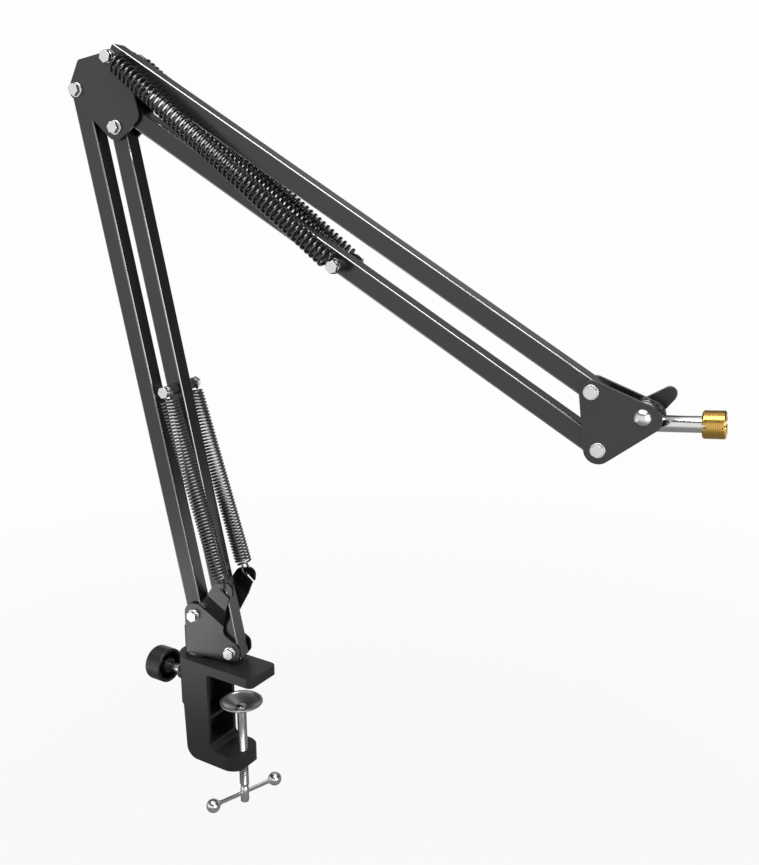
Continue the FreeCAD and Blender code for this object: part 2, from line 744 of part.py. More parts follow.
def relief_slot():
    """The bend relief at the rear end of the joggle, as a cutter."""
    turn = math.radians(JOGGLE_ANGLE)
    start = BASE_REAR + Vector(RELIEF_X, 0, CHEEK_TOP)
    inward = Vector(math.cos(turn), 0, -math.sin(turn))
    half = RELIEF_WIDTH / 2
    reach = 2 * SPRING_Y
    outline = lobed_outline([(start - inward * RELIEF_WIDTH, half), (start + inward * RELIEF_DEPTH, half)])
    return sheet_between(outline, -reach, reach)


def base_bracket():
    """The folded bracket: two cheeks with joggled ears, a rear web and a floor for the post."""
    prism = sheet_between(cheek_outline(), -2 * SPRING_Y, 0)
    cheek = joggled_sheet().common(prism).cut(ear_slot()).cut(relief_slot())
    bracket = cheek.fuse(cheek.mirror(ORIGIN, ACROSS))
    rear = BASE_REAR.x + BRACKET_REAR
    web_height = PIVOT_RISE + WEB_TOP
    front = BASE_REAR.x + BRACKET_CHEEK_REAR + BRACKET_BEND
    bend = BRACKET_BEND - SHEET

    def bent(x0, half, radius):
        corners = [(x0, -half, radius), (front, -half, 0), (front, half, 0), (x0, half, radius)]
        face = Part.Face(rounded_outline(corners, level))
        face.translate(UP * BRACKET_UNDER)
        return face.extrude(UP * web_height)

    web = bent(rear, OUTER, BRACKET_BEND).cut(bent(rear + SHEET, INNER, bend))
    floor = box(rear + SHEET / 2, rear + SHEET + FLOOR_REACH, -INNER + END_PLAY, INNER - END_PLAY,
                BRACKET_UNDER, BRACKET_UNDER + SHEET)
    bracket = bracket.fuse([web, floor])
    bracket = bracket.cut(Part.makeCylinder(POST_NECK_RADIUS, 2 * SHEET, UP * (BRACKET_UNDER - SHEET / 2)))
    for at in (BASE_REAR, BASE_FRONT):
        bracket = bracket.cut(pin(at, -OUTER, OUTER, BOLT_RADIUS))
    return bracket.removeSplitter()


def elbow_plates():
    """The front and back elbow plates."""
    lobes = [
        (ELBOW_REAR, ELBOW_REAR_RADIUS),
        (ELBOW_FRONT, ELBOW_FRONT_RADIUS),
        (ELBOW_REAR + Vector(ELBOW_LOBE_X, 0, ELBOW_LOBE_Z), ELBOW_LOBE_RADIUS),
        (ELBOW_TOP, ELBOW_TOP_RADIUS),
        (ELBOW_REAR + Vector(ELBOW_SHOULDER_X, 0, ELBOW_SHOULDER_Z), ELBOW_SHOULDER_RADIUS),
    ]
    outline = lobed_outline(lobes)
    plates = []
    for y0, y1 in ((-OUTER, -INNER), (INNER, OUTER)):
        plate = sheet_between(outline, y0, y1)
        for at in (ELBOW_REAR, ELBOW_FRONT, ELBOW_TOP, ELBOW_LOW):
            plate = plate.cut(pin(at, y0, y1, BOLT_RADIUS))
        plates.append(plate)
    return plates


def head_plates():
    """The front and back head plates, three-cornered."""
    nose = TILT + Vector(HEAD_NOSE_SHIFT, 0, -HEAD_NOSE_SHIFT / 2)
    lobes = [(HEAD_TOP, HEAD_TOP_RADIUS), (HEAD_LOW, HEAD_LOW_RADIUS), (nose, HEAD_NOSE_RADIUS)]
    outline = lobed_outline(lobes)
    plates = []
    for y0, y1 in ((-OUTER, -INNER), (INNER, OUTER)):
        plate = sheet_between(outline, y0, y1)
        for at in (HEAD_TOP, HEAD_LOW):
            plate = plate.cut(pin(at, y0, y1, BOLT_RADIUS))
        plates.append(plate.cut(pin(TILT, y0, y1, TILT_BOLT_RADIUS)))
    return plates


def tilt_bolt():
    """The tilt pivot's bolt with a domed head at the front."""
    end = OUTER + END_PLAY + WING_HUB_LENGTH
    face = -OUTER - TILT_HEAD_HEIGHT
    sphere = (TILT_HEAD_RADIUS ** 2 + TILT_HEAD_HEIGHT ** 2) / (2 * TILT_HEAD_HEIGHT)
    half = math.asin(TILT_HEAD_RADIUS / sphere) / 2
    shoulder = Vector(sphere * math.sin(half), face + sphere * (1 - math.cos(half)), 0)
    crown = Part.Arc(Vector(TILT_HEAD_RADIUS, -OUTER, 0), shoulder, Vector(0, face, 0)).toShape()
    edges = [crown,
             Part.makeLine(Vector(0, face, 0), Vector(0, end, 0)),
             Part.makeLine(Vector(0, end, 0), Vector(TILT_BOLT_RADIUS, end, 0)),
             Part.makeLine(Vector(TILT_BOLT_RADIUS, end, 0), Vector(TILT_BOLT_RADIUS, -OUTER, 0)),
             Part.makeLine(Vector(TILT_BOLT_RADIUS, -OUTER, 0), Vector(TILT_HEAD_RADIUS, -OUTER, 0))]
    return Part.Face(Part.Wire(edges)).revolve(ORIGIN, ACROSS, 360).translated(TILT)


def wing_nut():
    """The plastic wing nut and its threaded insert, behind the back plate."""
    seat = OUTER + END_PLAY
    end = seat + WING_HUB_LENGTH
    turn = math.radians(WING_ANGLE)
    reach = Vector(math.cos(turn), 0, math.sin(turn)) * (WING_REACH - WING_TIP_RADIUS)
    wing_y = end - WING_THICKNESS
    body = pin(TILT, seat, end, WING_HUB_RADIUS)
    for tip in (TILT + reach, TILT - reach):
        outline = lobed_outline([(TILT, WING_HUB_RADIUS), (tip, WING_TIP_RADIUS)])
        body = body.fuse(sheet_between(outline, wing_y, end))
    body = body.cut(pin(TILT, seat, end, WING_INSERT_RADIUS)).removeSplitter()
    return body, ring(TILT, seat, end, WING_INSERT_RADIUS, TILT_BOLT_RADIUS + FIT)


def rod_point(distance):
    """A point on the microphone rod's axis, at a distance ahead of the tilt pivot."""
    rise = math.radians(ROD_RISE)
    along = Vector(math.cos(rise), 0, math.sin(rise))
    down = Vector(math.sin(rise), 0, -math.cos(rise))
    return TILT + along * distance + down * ROD_DROP


def tilt_arm():
    """The flat eye between the head plates and the round rod that carries the adapter."""
    eye = pin(TILT, -EYE_HALF, EYE_HALF, EYE_RADIUS)
    arm = eye.fuse(rod(rod_point(0), rod_point(ROD_LENGTH), ROD_RADIUS))
    bore = pin(TILT, -2 * EYE_HALF, 2 * EYE_HALF, TILT_BOLT_RADIUS + FIT)
    return arm.cut(bore).removeSplitter()


def thread_adapter():
    """The brass adapter screwed on the rod's end, slotted across both faces."""
    outer = ADAPTER_RADIUS
    edge = outer - ADAPTER_CHAMFER
    end = ADAPTER_LENGTH
    profile = [(ROD_RADIUS, 0), (edge, 0), (outer, ADAPTER_CHAMFER), (outer, end - ADAPTER_CHAMFER),
               (edge, end), (ROD_RADIUS, end)]
    body = revolved(profile, Vector(1, 0, 0))
    half = ADAPTER_SLOT_WIDTH / 2
    for x0, x1 in ((0, ADAPTER_SLOT_DEPTH), (end - ADAPTER_SLOT_DEPTH, end)):
        body = body.cut(box(x0, x1, -outer, outer, -half, half))
    body.rotate(ORIGIN, ACROSS, -ROD_RISE)
    return body.translated(rod_point(ADAPTER_START))


def tilt_washers():
    """A friction washer on each side of the eye."""
    washers_pair = []
    for y0, y1 in ((-INNER, -EYE_HALF - END_PLAY), (EYE_HALF + END_PLAY, INNER)):
        washers_pair.append(ring(TILT, y0, y1, FRICTION_WASHER_RADIUS, TILT_BOLT_RADIUS))
    return group(washers_pair)


def clamp_nodes():
    """The clamp's pieces, in the desk's frame."""
    nodes = {"clamp_frame": clamp_frame(), "clamp_screw": clamp_screw(), "clamp_pad": clamp_pad()}
    nodes["tommy_bar"], nodes["tommy_bar_balls"] = tommy_bar()
    nodes["swivel_knob"], nodes["swivel_screw"] = swivel_knob()
    return nodes


def base_nodes():
    """The swivelling base, in the arm's frame."""
    pivots = (BASE_REAR, BASE_FRONT)
    grip = OUTER + WASHER_THICKNESS
    post, washer = swivel_post()
    return {
        "swivel_post": post,
        "post_washer": washer,
        "base_bracket": base_bracket(),
        "base_pivot_bolts": group([bolt(at, grip) for at in pivots]),
        "base_pivot_washers": group([w for at in pivots for w in washers(at, OUTER, WASHER_RADIUS)]),
        "base_pivot_nuts": group([nut(at, grip) for at in pivots]),
    }


def lower_arm_nodes():
    """The lower arm's bars, springs and spring anchor, in the arm's frame."""
    nodes = {
        "lower_left_bar": bar(BASE_REAR, ELBOW_REAR, SQUARE_CUT, ROUND_CUT, []),
        "lower_left_bushes": bushes((BASE_REAR, ELBOW_REAR)),
        "lower_right_bar": bar(BASE_FRONT, ELBOW_FRONT, SQUARE_CUT, ROUND_CUT, [LOWER_ANCHOR]),
        "lower_right_bushes": bushes((BASE_FRONT, ELBOW_FRONT)),
    }
    names = ("lower_spring_bolt", "lower_spring_sleeves", "lower_spring_washers", "lower_spring_nut")
    nodes.update(zip(names, spring_anchor(LOWER_ANCHOR, BAR_DEPTH / 2, LOWER_WIRE)))
    on_bolt = LOWER_HOOK_RADIUS - LOWER_WIRE / 2 - BOLT_RADIUS - END_PLAY
    along = (EAR_SEAT - LOWER_ANCHOR).normalize()
    for name, y in (("lower_spring_front", -SPRING_Y), ("lower_spring_back", SPRING_Y)):
        shift = ACROSS * y
        nodes[name] = spring(name, LOWER_ANCHOR + shift, EAR_SEAT + shift, on_bolt, LOWER_HOOK_RADIUS,
                             ACROSS.cross(along), ACROSS, LOWER_SPRING_DIAMETER, LOWER_WIRE,
                             LOWER_HOOK_RADIUS, LOWER_CURLS)
    return nodes


def elbow_nodes():
    """The elbow's plates and fasteners, in the arm's frame."""
    pivots = (ELBOW_REAR, ELBOW_FRONT)
    grip = OUTER + WASHER_THICKNESS
    nodes = {
        "elbow_pivot_bolts": group([bolt(at, grip) for at in pivots]),
        "elbow_pivot_washers": group([w for at in pivots for w in washers(at, OUTER, WASHER_RADIUS)]),
        "elbow_pivot_nuts": group([nut(at, grip) for at in pivots]),
        "elbow_rivet": pin(ELBOW_LOW, -OUTER, OUTER, BOLT_RADIUS),
    }
    nodes["elbow_plate_front"], nodes["elbow_plate_back"] = elbow_plates()
    names = ("elbow_spring_bolt", "elbow_spring_sleeves", "elbow_spring_washers", "elbow_spring_nut")
    nodes.update(zip(names, spring_anchor(ELBOW_TOP, OUTER, UPPER_WIRE)))
    return nodes


def upper_arm_nodes():
    """The upper arm's bars, springs and spring anchor, in the arm's frame."""
    nodes = {
        "upper_top_bar": bar(ELBOW_TOP, HEAD_TOP, TAIL_CUT, SQUARE_CUT, []),
        "upper_top_bushes": bushes((ELBOW_TOP, HEAD_TOP)),
        "upper_bottom_bar": bar(ELBOW_LOW, HEAD_LOW, ROUND_CUT, SQUARE_CUT, [UPPER_ANCHOR]),
        "upper_bottom_bushes": bushes((ELBOW_LOW, HEAD_LOW)),
    }
    names = ("upper_spring_bolt", "upper_spring_sleeves", "upper_spring_washers", "upper_spring_nut")
    nodes.update(zip(names, spring_anchor(UPPER_ANCHOR, BAR_DEPTH / 2, UPPER_WIRE)))
    on_bolt = UPPER_HOOK_RADIUS - UPPER_WIRE / 2 - BOLT_RADIUS - END_PLAY
    side = ACROSS.cross((UPPER_ANCHOR - ELBOW_TOP).normalize())
    for name, y in (("upper_spring_front", -SPRING_Y), ("upper_spring_back", SPRING_Y)):
        shift = ACROSS * y
        nodes[name] = spring(name, ELBOW_TOP + shift, UPPER_ANCHOR + shift, on_bolt, on_bolt,
                             side, side, UPPER_SPRING_DIAMETER, UPPER_WIRE, UPPER_HOOK_RADIUS,
                             UPPER_CURLS)
    return nodes


def head_nodes():
    """The head's plates, tilt joint, rod and adapter, in the arm's frame."""
    pivots = (HEAD_TOP, HEAD_LOW)
    nodes = {
        "head_pivot_bolts": group([bolt(at, OUTER) for at in pivots]),
        "head_pivot_nuts": group([nut(at, OUTER) for at in pivots]),
        "tilt_bolt": tilt_bolt(),
        "tilt_washers": tilt_washers(),
        "tilt_arm": tilt_arm(),
        "thread_adapter": thread_adapter(),
    }
    nodes["head_plate_front"], nodes["head_plate_back"] = head_plates()
    nodes["wing_nut"], nodes["wing_nut_insert"] = wing_nut()
    return nodes


def main():
    """Build every node, turn the arm about its post and write one file per node."""
    os.makedirs("parts", exist_ok=True)
    nodes = clamp_nodes()
    for pieces in (base_nodes(), lower_arm_nodes(), elbow_nodes(), upper_arm_nodes(), head_nodes()):
        for name, shape in pieces.items():
            shape.rotate(ORIGIN, UP, SWIVEL)
            shape.translate(Vector(-POST_TO_SCREW, 0, 0))
            nodes[name] = shape
    for name, shape in nodes.items():
        shape.exportStep(os.path.join("parts", name + ".step"))
    print(f"{len(nodes)} nodes written")


main()
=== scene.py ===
"""Microphone boom arm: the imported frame, dressed with its finishes for a studio picture.

Sizes are in millimetres. Each sub-assembly builds its meshes in the arm's upright plane or in the
clamp's own frame, and one matrix takes them into the frame's metres.
"""

import json
import logging
import math
from dataclasses import dataclass
from dataclasses import field
from enum import Enum
from typing import Callable
from typing import Iterable
from typing import Sequence
from typing import Union

import bmesh
import bpy
from mathutils import Matrix
from mathutils import Vector

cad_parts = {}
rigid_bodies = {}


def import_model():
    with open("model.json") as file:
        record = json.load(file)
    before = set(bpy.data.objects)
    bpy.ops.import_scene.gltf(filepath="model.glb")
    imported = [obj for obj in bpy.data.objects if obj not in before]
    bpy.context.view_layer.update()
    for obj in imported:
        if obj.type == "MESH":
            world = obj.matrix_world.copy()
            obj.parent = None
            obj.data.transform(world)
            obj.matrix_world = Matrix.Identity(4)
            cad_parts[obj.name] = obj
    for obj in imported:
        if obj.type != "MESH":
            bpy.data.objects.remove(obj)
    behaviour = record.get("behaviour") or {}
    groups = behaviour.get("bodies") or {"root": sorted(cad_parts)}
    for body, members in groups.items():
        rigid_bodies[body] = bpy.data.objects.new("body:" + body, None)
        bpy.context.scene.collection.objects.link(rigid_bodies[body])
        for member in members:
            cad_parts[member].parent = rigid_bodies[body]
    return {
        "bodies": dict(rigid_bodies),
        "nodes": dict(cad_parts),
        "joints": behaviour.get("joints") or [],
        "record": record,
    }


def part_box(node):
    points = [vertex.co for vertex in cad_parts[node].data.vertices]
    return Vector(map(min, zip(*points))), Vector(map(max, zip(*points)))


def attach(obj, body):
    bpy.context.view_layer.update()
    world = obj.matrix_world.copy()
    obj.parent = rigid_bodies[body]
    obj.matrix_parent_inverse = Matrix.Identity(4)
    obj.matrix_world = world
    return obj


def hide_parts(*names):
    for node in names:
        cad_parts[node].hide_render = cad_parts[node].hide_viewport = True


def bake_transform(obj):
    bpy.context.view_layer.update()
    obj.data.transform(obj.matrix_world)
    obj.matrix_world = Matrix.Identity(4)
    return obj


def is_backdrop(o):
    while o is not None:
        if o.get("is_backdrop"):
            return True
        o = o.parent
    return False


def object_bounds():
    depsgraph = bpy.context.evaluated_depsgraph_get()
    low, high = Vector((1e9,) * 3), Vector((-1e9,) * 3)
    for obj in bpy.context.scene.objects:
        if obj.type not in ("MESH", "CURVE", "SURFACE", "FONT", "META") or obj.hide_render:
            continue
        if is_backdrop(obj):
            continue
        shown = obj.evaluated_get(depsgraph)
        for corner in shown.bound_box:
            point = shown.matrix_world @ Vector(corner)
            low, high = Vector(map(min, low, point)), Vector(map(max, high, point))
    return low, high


LOG = logging.getLogger("boom_arm")
MM = 0.001
PHOTO_LONG_SIDE = 865
LATHE_WELD = 0.001

# A Mix node's sockets for colours, by number.
MIX_FIRST = 6
MIX_SECOND = 7
MIX_RESULT = 2

Settings = dict[str, object]
Sockets = dict[Union[str, int], object]
Colour = tuple[float, float, float]
Triple = tuple[float, float, float]
Pair = tuple[float, float]

PAINT_BLACK: Colour = (0.006, 0.006, 0.0063)
ZINC_WHITE: Colour = (0.68, 0.685, 0.70)
ZINC_TINT: Colour = (0.64, 0.64, 0.62)


class Term:
    """A shader socket that can be used in Python sums."""

    def __init__(self, shader: "Shader", socket: bpy.types.NodeSocket) -> None:
        """Keep the socket and the shader that it belongs to."""
        self.shader = shader
        self.socket = socket

    def _maths(self, operation: str, first: "Number", second: "Number") -> "Term":
        """One Math node on two numbers or sockets."""
        return self.shader.term("ShaderNodeMath", {"operation": operation}, {0: first, 1: second})

    def __add__(self, other: "Number") -> "Term":
        """The sum."""
        return self._maths("ADD", self, other)

    def __radd__(self, other: "Number") -> "Term":
        """The sum, with the number first."""
        return self._maths("ADD", other, self)

    def __sub__(self, other: "Number") -> "Term":
        """The difference."""
        return self._maths("SUBTRACT", self, other)

    def __rsub__(self, other: "Number") -> "Term":
        """The difference, with the number first."""
        return self._maths("SUBTRACT", other, self)

    def __mul__(self, other: "Number") -> "Term":
        """The product."""
        return self._maths("MULTIPLY", self, other)

    def sine(self) -> "Term":
        """The sine of the value in radians."""
        return self._maths("SINE", self, 0.0)

    def above(self, level: "Number") -> "Term":
        """One where the value is over a level, and nought elsewhere."""
        return self._maths("GREATER_THAN", self, level)

    def swing(self, by: float) -> "Term":
        """A noise from 0 to 1 made into a swing about nought."""
        return (self - 0.5) * by


Number = Union[Term, float]


class Shader:
    """Makes the nodes of one material or world."""

    def __init__(self, tree: bpy.types.NodeTree) -> None:
        """Work on a node tree that Blender has just made."""
        self.tree = tree
        self._coordinates: Term | None = None

    def node(self, kind: str, settings: Settings, sockets: Sockets) -> bpy.types.Node:
        """Add a node.

        Args:
            kind: the node's type.
            settings: its properties, set first; "stops" are a ramp's (place, colour) pairs.
            sockets: values or terms for its inputs, by name or number.

        Returns:
            The new node.
        """
        made = self.tree.nodes.new(kind)
        for name, value in settings.items():
            if name == "stops":
                self._set_stops(made.color_ramp, value)
            else:
                setattr(made, name, value)
        for name, value in sockets.items():
            self.feed(made.inputs[name], value)
        return made

    def term(self, kind: str, settings: Settings, sockets: Sockets, output: Union[str, int] = 0) -> Term:
        """The value of a new node, from one of its outputs."""
        return Term(self, self.node(kind, settings, sockets).outputs[output])

    @staticmethod
    def _set_stops(ramp: bpy.types.ColorRamp, stops: Sequence[tuple[float, Colour]]) -> None:
        """Give a colour ramp its stops.

        Args:
            ramp: the ramp, with the two stops that Blender gives it.
            stops: two or more (place, colour) pairs in order.
        """
        while len(ramp.elements) < len(stops):
            ramp.elements.new(0.5)
        for element, (place, colour) in zip(ramp.elements, stops):
            element.position = place
            element.color = (*colour, 1.0)

    def feed(self, socket: bpy.types.NodeSocket, value: object) -> None:
        """Link a term to a socket, or set the socket's own value.

        Args:
            socket: an input.
            value: a term, a number or a colour.
        """
        if isinstance(value, Term):
            self.tree.links.new(value.socket, socket)
        else:
            socket.default_value = value

    def place(self) -> Term:
        """The piece's own coordinates, in metres.

        Returns:
            The coordinates, from one node for the whole tree.
        """
        if self._coordinates is None:
            self._coordinates = self.term("ShaderNodeTexCoord", {}, {}, "Object")
        return self._coordinates

    def turned(self, rotation: Triple, scale: Triple) -> Term:
        """The piece's coordinates, turned by angles in radians and stretched along each axis."""
        sockets = {"Vector": self.place(), "Rotation": rotation, "Scale": scale}
        return self.term("ShaderNodeMapping", {}, sockets)

    def noise(self, scale: float, detail: float = 2.0, at: Term | None = None) -> Term:
        """Soft noise from about 0 to 1, of so many features per metre and octaves."""
        sockets = {"Vector": at or self.place(), "Scale": scale, "Detail": detail}
        return self.term("ShaderNodeTexNoise", {}, sockets)

    def cells(self, scale: float) -> Term:
        """The distance to the nearest of many scattered points, for flecks and pits."""
        return self.term("ShaderNodeTexVoronoi", {}, {"Vector": self.place(), "Scale": scale}, "Distance")

    def between(self, operation: str, first: Term, second: Iterable[float]) -> Term:
        """A number from two vectors, such as their product or the distance between them."""
        sockets = {0: first, 1: tuple(second)}
        return self.term("ShaderNodeVectorMath", {"operation": operation}, sockets, "Value")

    def rise(self, value: Term, span: Pair, low: float = 0.0) -> Term:
        """A share that goes from a low value to 1 as another value crosses a span."""
        stops = [(span[0], grey(low)), (span[1], grey(1.0))]
        return self.term("ShaderNodeValToRGB", {"stops": stops}, {"Fac": value}, "Color")

    def mixed(self, share: Number, first: object, second: object) -> Term:
        """A colour between two colours or colour terms."""
        sockets = {"Factor": share, MIX_FIRST: opaque(first), MIX_SECOND: opaque(second)}
        return self.term("ShaderNodeMix", {"data_type": "RGBA"}, sockets, MIX_RESULT)

    def bump(self, height: Term, strength: float, depth: float) -> Term:
        """A surface normal pushed about by a height, which a depth in millimetres goes with."""
        sockets = {"Height": height, "Strength": strength, "Distance": depth * MM}
        return self.term("ShaderNodeBump", {}, sockets)


def opaque(value: object) -> object:
    """A colour with full alpha, or the term itself."""
    return value if isinstance(value, Term) else (*value, 1.0)


def grey(level: float) -> Colour:
    """A colour without hue."""
    return (level, level, level)


def shade(colour: Colour, by: float) -> Colour:
    """A colour made lighter or darker by a factor."""
    return tuple(min(part * by, 1.0) for part in colour)


@dataclass(frozen=True)
class Finish:
    """A surface finish that all pieces of one kind share."""

    name: str
    slot: str
    colour: Colour
    roughness: float

    def material(self) -> bpy.types.Material:
        """Make the material.

        Returns:
            A new material with this finish's nodes.
        """
        made = bpy.data.materials.new(self.name)
        made.use_nodes = True
        surface = made.node_tree.nodes["Principled BSDF"]
        shader = Shader(made.node_tree)
        for name, value in self.sockets(shader).items():
            shader.feed(surface.inputs[name], value)
        return made

    def sockets(self, shader: Shader) -> dict[str, object]:
        """The values and terms for the surface's sockets."""
        raise NotImplementedError

    def toned(self, shader: Shader, share: Term, tones: Pair) -> Term:
        """The finish's colour, drifting between a darker and a lighter tone of it."""
        return shader.mixed(share, *(shade(self.colour, tone) for tone in tones))


@dataclass(frozen=True)
class PowderCoat(Finish):
    """Satin black powder coat: faint mottling, a fine peel and a few dust specks."""

    index: float = 1.6
    peel: float = 1500.0
    mottle: float = 55.0
    peel_height: float = 0.10
    peel_depth: float = 0.2
    tones: Pair = (0.82, 1.2)
    specks: float = 600.0
    speck_size: float = 0.12
    speck_share: float = 0.25
    speck_tone: float = 2.4
    uneven: float = 0.10

    def sockets(self, shader: Shader) -> dict[str, object]:
        """The values and terms for the surface's sockets.

        Args:
            shader: the material's shader.

        Returns:
            The values and terms by the sockets' names.
        """
        cloud = shader.noise(self.mottle, detail=3.0)
        peel = shader.noise(self.peel)
        specks = 1.0 - shader.cells(self.specks).above(self.speck_size)
        base = self.toned(shader, cloud, self.tones)
        return {
            "Base Color": shader.mixed(specks * self.speck_share, base, shade(self.colour, self.speck_tone)),
            "IOR": self.index,
            "Roughness": self.roughness + cloud.swing(self.uneven) + peel.swing(self.uneven),
            "Normal": shader.bump(peel, self.peel_height, self.peel_depth),
        }


@dataclass(frozen=True)
class PlatedSteel(Finish):
    """Bright plating: a slight tint that drifts, rubbed marks and fine pits."""

    tint: Colour
    rub: float = 420.0
    grain: float = 0.06
    metallic: float = 1.0
    drift: float = 130.0
    rub_turn: Triple = (0.3, 0.5, 0.2)
    rub_stretch: Triple = (1.0, 5.0, 1.0)
    rub_rough: float = 0.16
    pits: float = 1900.0
    pit_size: float = 0.10
    pit_rough: float = 0.12
    pit_share: float = 0.5
    grain_depth: float = 0.1

    def sockets(self, shader: Shader) -> dict[str, object]:
        """The values and terms for the surface's sockets.

        Args:
            shader: the material's shader.

        Returns:
            The values and terms by the sockets' names.
        """
        drift = shader.noise(self.drift)
        rubbed = shader.noise(self.rub, detail=4.0, at=shader.turned(self.rub_turn, self.rub_stretch))
        pits = 1.0 - shader.cells(self.pits).above(self.pit_size)
        return {
            "Base Color": shader.mixed(drift, self.colour, self.tint),
            "Metallic": self.metallic,
            "Roughness": self.roughness + rubbed.swing(self.rub_rough) + pits * self.pit_rough,
            "Normal": shader.bump(rubbed - pits * self.pit_share, self.grain, self.grain_depth),
        }


@dataclass(frozen=True)
class DrawnWire(Finish):
    """Spring wire: dark scale or bare steel with blotches and with streaks from drawing."""

    metallic: float
    streak: float = 900.0
    streak_turn: Triple = (0.0, 0.4, 0.0)
    streak_stretch: Triple = (1.0, 1.0, 3.0)
    streak_rough: float = 0.12
    streak_height: float = 0.08
    streak_depth: float = 0.1
    tones: Pair = (0.7, 1.4)
    blotch: float = 90.0
    blotch_rough: float = 0.14

    def sockets(self, shader: Shader) -> dict[str, object]:
        """The values and terms for the surface's sockets.

        Args:
            shader: the material's shader.

        Returns:
            The values and terms by the sockets' names.
        """
        drawn = shader.turned(self.streak_turn, self.streak_stretch)
        streaks = shader.noise(self.streak, detail=3.0, at=drawn)
        blotch = shader.noise(self.blotch)
        return {
            "Base Color": self.toned(shader, streaks, self.tones),
            "Metallic": self.metallic,
            "Roughness": self.roughness + blotch.swing(self.blotch_rough) + streaks.swing(self.streak_rough),
            "Normal": shader.bump(streaks, self.streak_height, self.streak_depth),
        }


@dataclass(frozen=True)
class TurnedBrass(Finish):
    """Turned brass with a fine thread cut round the rod's axis, and painted shade darkening the hollows
    between the thread's crests.
    """

    pitch: float = 0.94
    axis: Triple = (0.982, 0.173, 0.070)
    stain: float = 160.0
    stain_rough: float = 0.12
    tones: Pair = (0.92, 1.08)
    # share and tone of the painted shade in the thread's hollows
    thread_shade_share: float = 0.55
    thread_shade_tone: float = 0.40
    thread_height: float = 0.4
    thread_depth: float = 0.3

    def sockets(self, shader: Shader) -> dict[str, object]:
        """The values and terms for the surface's sockets.

        Args:
            shader: the material's shader.

        Returns:
            The values and terms by the sockets' names.
        """
        along = shader.between("DOT_PRODUCT", shader.place(), self.axis)
        turns = along * (2 * math.pi / (self.pitch * MM))
        crest = turns.sine() * 0.5 + 0.5
        stain = shader.noise(self.stain)
        colour = self.toned(shader, stain, self.tones)
        # painted shade: the hollows between the thread's crests mix towards a darker tone of the brass
        painted_thread_shade = shade(self.colour, self.thread_shade_tone)
        return {
            "Base Color": shader.mixed((1.0 - crest) * self.thread_shade_share, colour, painted_thread_shade),
            "Metallic": 1.0,
            "Roughness": self.roughness + stain.swing(self.stain_rough),
            "Normal": shader.bump(crest, self.thread_height, self.thread_depth),
        }


@dataclass(frozen=True)
class MouldedPlastic(Finish):
    """Moulded plastic or nylon with a fine spark-eroded grain."""

    grain: float = 2200.0
    grain_height: float = 0.12
    grain_depth: float = 0.2
    grain_rough: float = 0.12
    tones: Pair = (0.85, 1.25)
    cloud: float = 70.0
    cloud_rough: float = 0.08

    def sockets(self, shader: Shader) -> dict[str, object]:
        """The values and terms for the surface's sockets.

        Args:
            shader: the material's shader.

        Returns:
            The values and terms by the sockets' names.
        """
        grain = shader.noise(self.grain)
        cloud = shader.noise(self.cloud)
        return {
            "Base Color": self.toned(shader, cloud, self.tones),
            "Roughness": self.roughness + grain.swing(self.grain_rough) + cloud.swing(self.cloud_rough),
            "Normal": shader.bump(grain, self.grain_height, self.grain_depth),
        }


class Coat(Enum):
    """The finishes that the arm's pieces have."""

    PAINT = PowderCoat("satin_black_paint", "black_paint", PAINT_BLACK, 0.24, peel_height=0.015)
    EDGE_PAINT = PowderCoat("corner_paint", "black_paint", PAINT_BLACK, 0.17, 3.0, peel_height=0.0)
    BRACKET_PAINT = PowderCoat("bracket_paint", "black_paint", PAINT_BLACK, 0.29, 1.8)
    # painted shade: a darker, less glossy black for the bracket faces that lie in shade
    PAINTED_SHADE_COAT = PowderCoat("painted_shade_black", "black_paint", (0.004, 0.004, 0.0042), 0.32, 1.25)
    CAST_PAINT = PowderCoat("matt_black_paint", "black_paint", (0.007, 0.007, 0.0073), 0.40, 1.5)
    BLACK_WIRE = DrawnWire("black_spring_wire", "black_spring", (0.060, 0.060, 0.062), 0.13, 0.9)
    STEEL_WIRE = DrawnWire("steel_spring_wire", "steel_spring", (0.115, 0.115, 0.12), 0.24, 0.9)
    ZINC = PlatedSteel("bright_zinc", "zinc", ZINC_WHITE, 0.22, ZINC_TINT)
    SCREW_ZINC = PlatedSteel("screw_zinc", "chrome", ZINC_WHITE, 0.22, ZINC_TINT)
    DULL_ZINC = PlatedSteel("dull_zinc", "chrome", (0.47, 0.475, 0.485), 0.29, (0.43, 0.43, 0.41),
                            metallic=0.9)
    NICKEL = PlatedSteel("bright_nickel", "chrome", (0.72, 0.72, 0.73), 0.13, (0.67, 0.66, 0.64), 500.0, 0.03)
    BRASS = TurnedBrass("turned_brass", "brass", (0.64, 0.38, 0.09), 0.24)
    PLASTIC = MouldedPlastic("black_plastic", "black_plastic", (0.006, 0.006, 0.006), 0.40)
    NYLON = MouldedPlastic("black_nylon", "sleeve_plastic", (0.016, 0.016, 0.016), 0.50, 1600.0, 0.08)


def link(name: str, data: bpy.types.ID) -> bpy.types.Object:
    """Put an object into the scene.

    Args:
        name: its name.
        data: its mesh, curve, lamp or camera.

    Returns:
        The new object.
    """
    made = bpy.data.objects.new(name, data)
    bpy.context.scene.collection.objects.link(made)
    return made


def look(viewer: bpy.types.Object, at: Vector, along: Vector) -> None:
    """Place a lamp or a camera and turn it.

    Args:
        viewer: the lamp or camera.
        at: its place in metres.
        along: the direction that it looks in.
    """
    viewer.location = at
    viewer.rotation_mode = "QUATERNION"
    viewer.rotation_quaternion = along.to_track_quat("-Z", "Y")


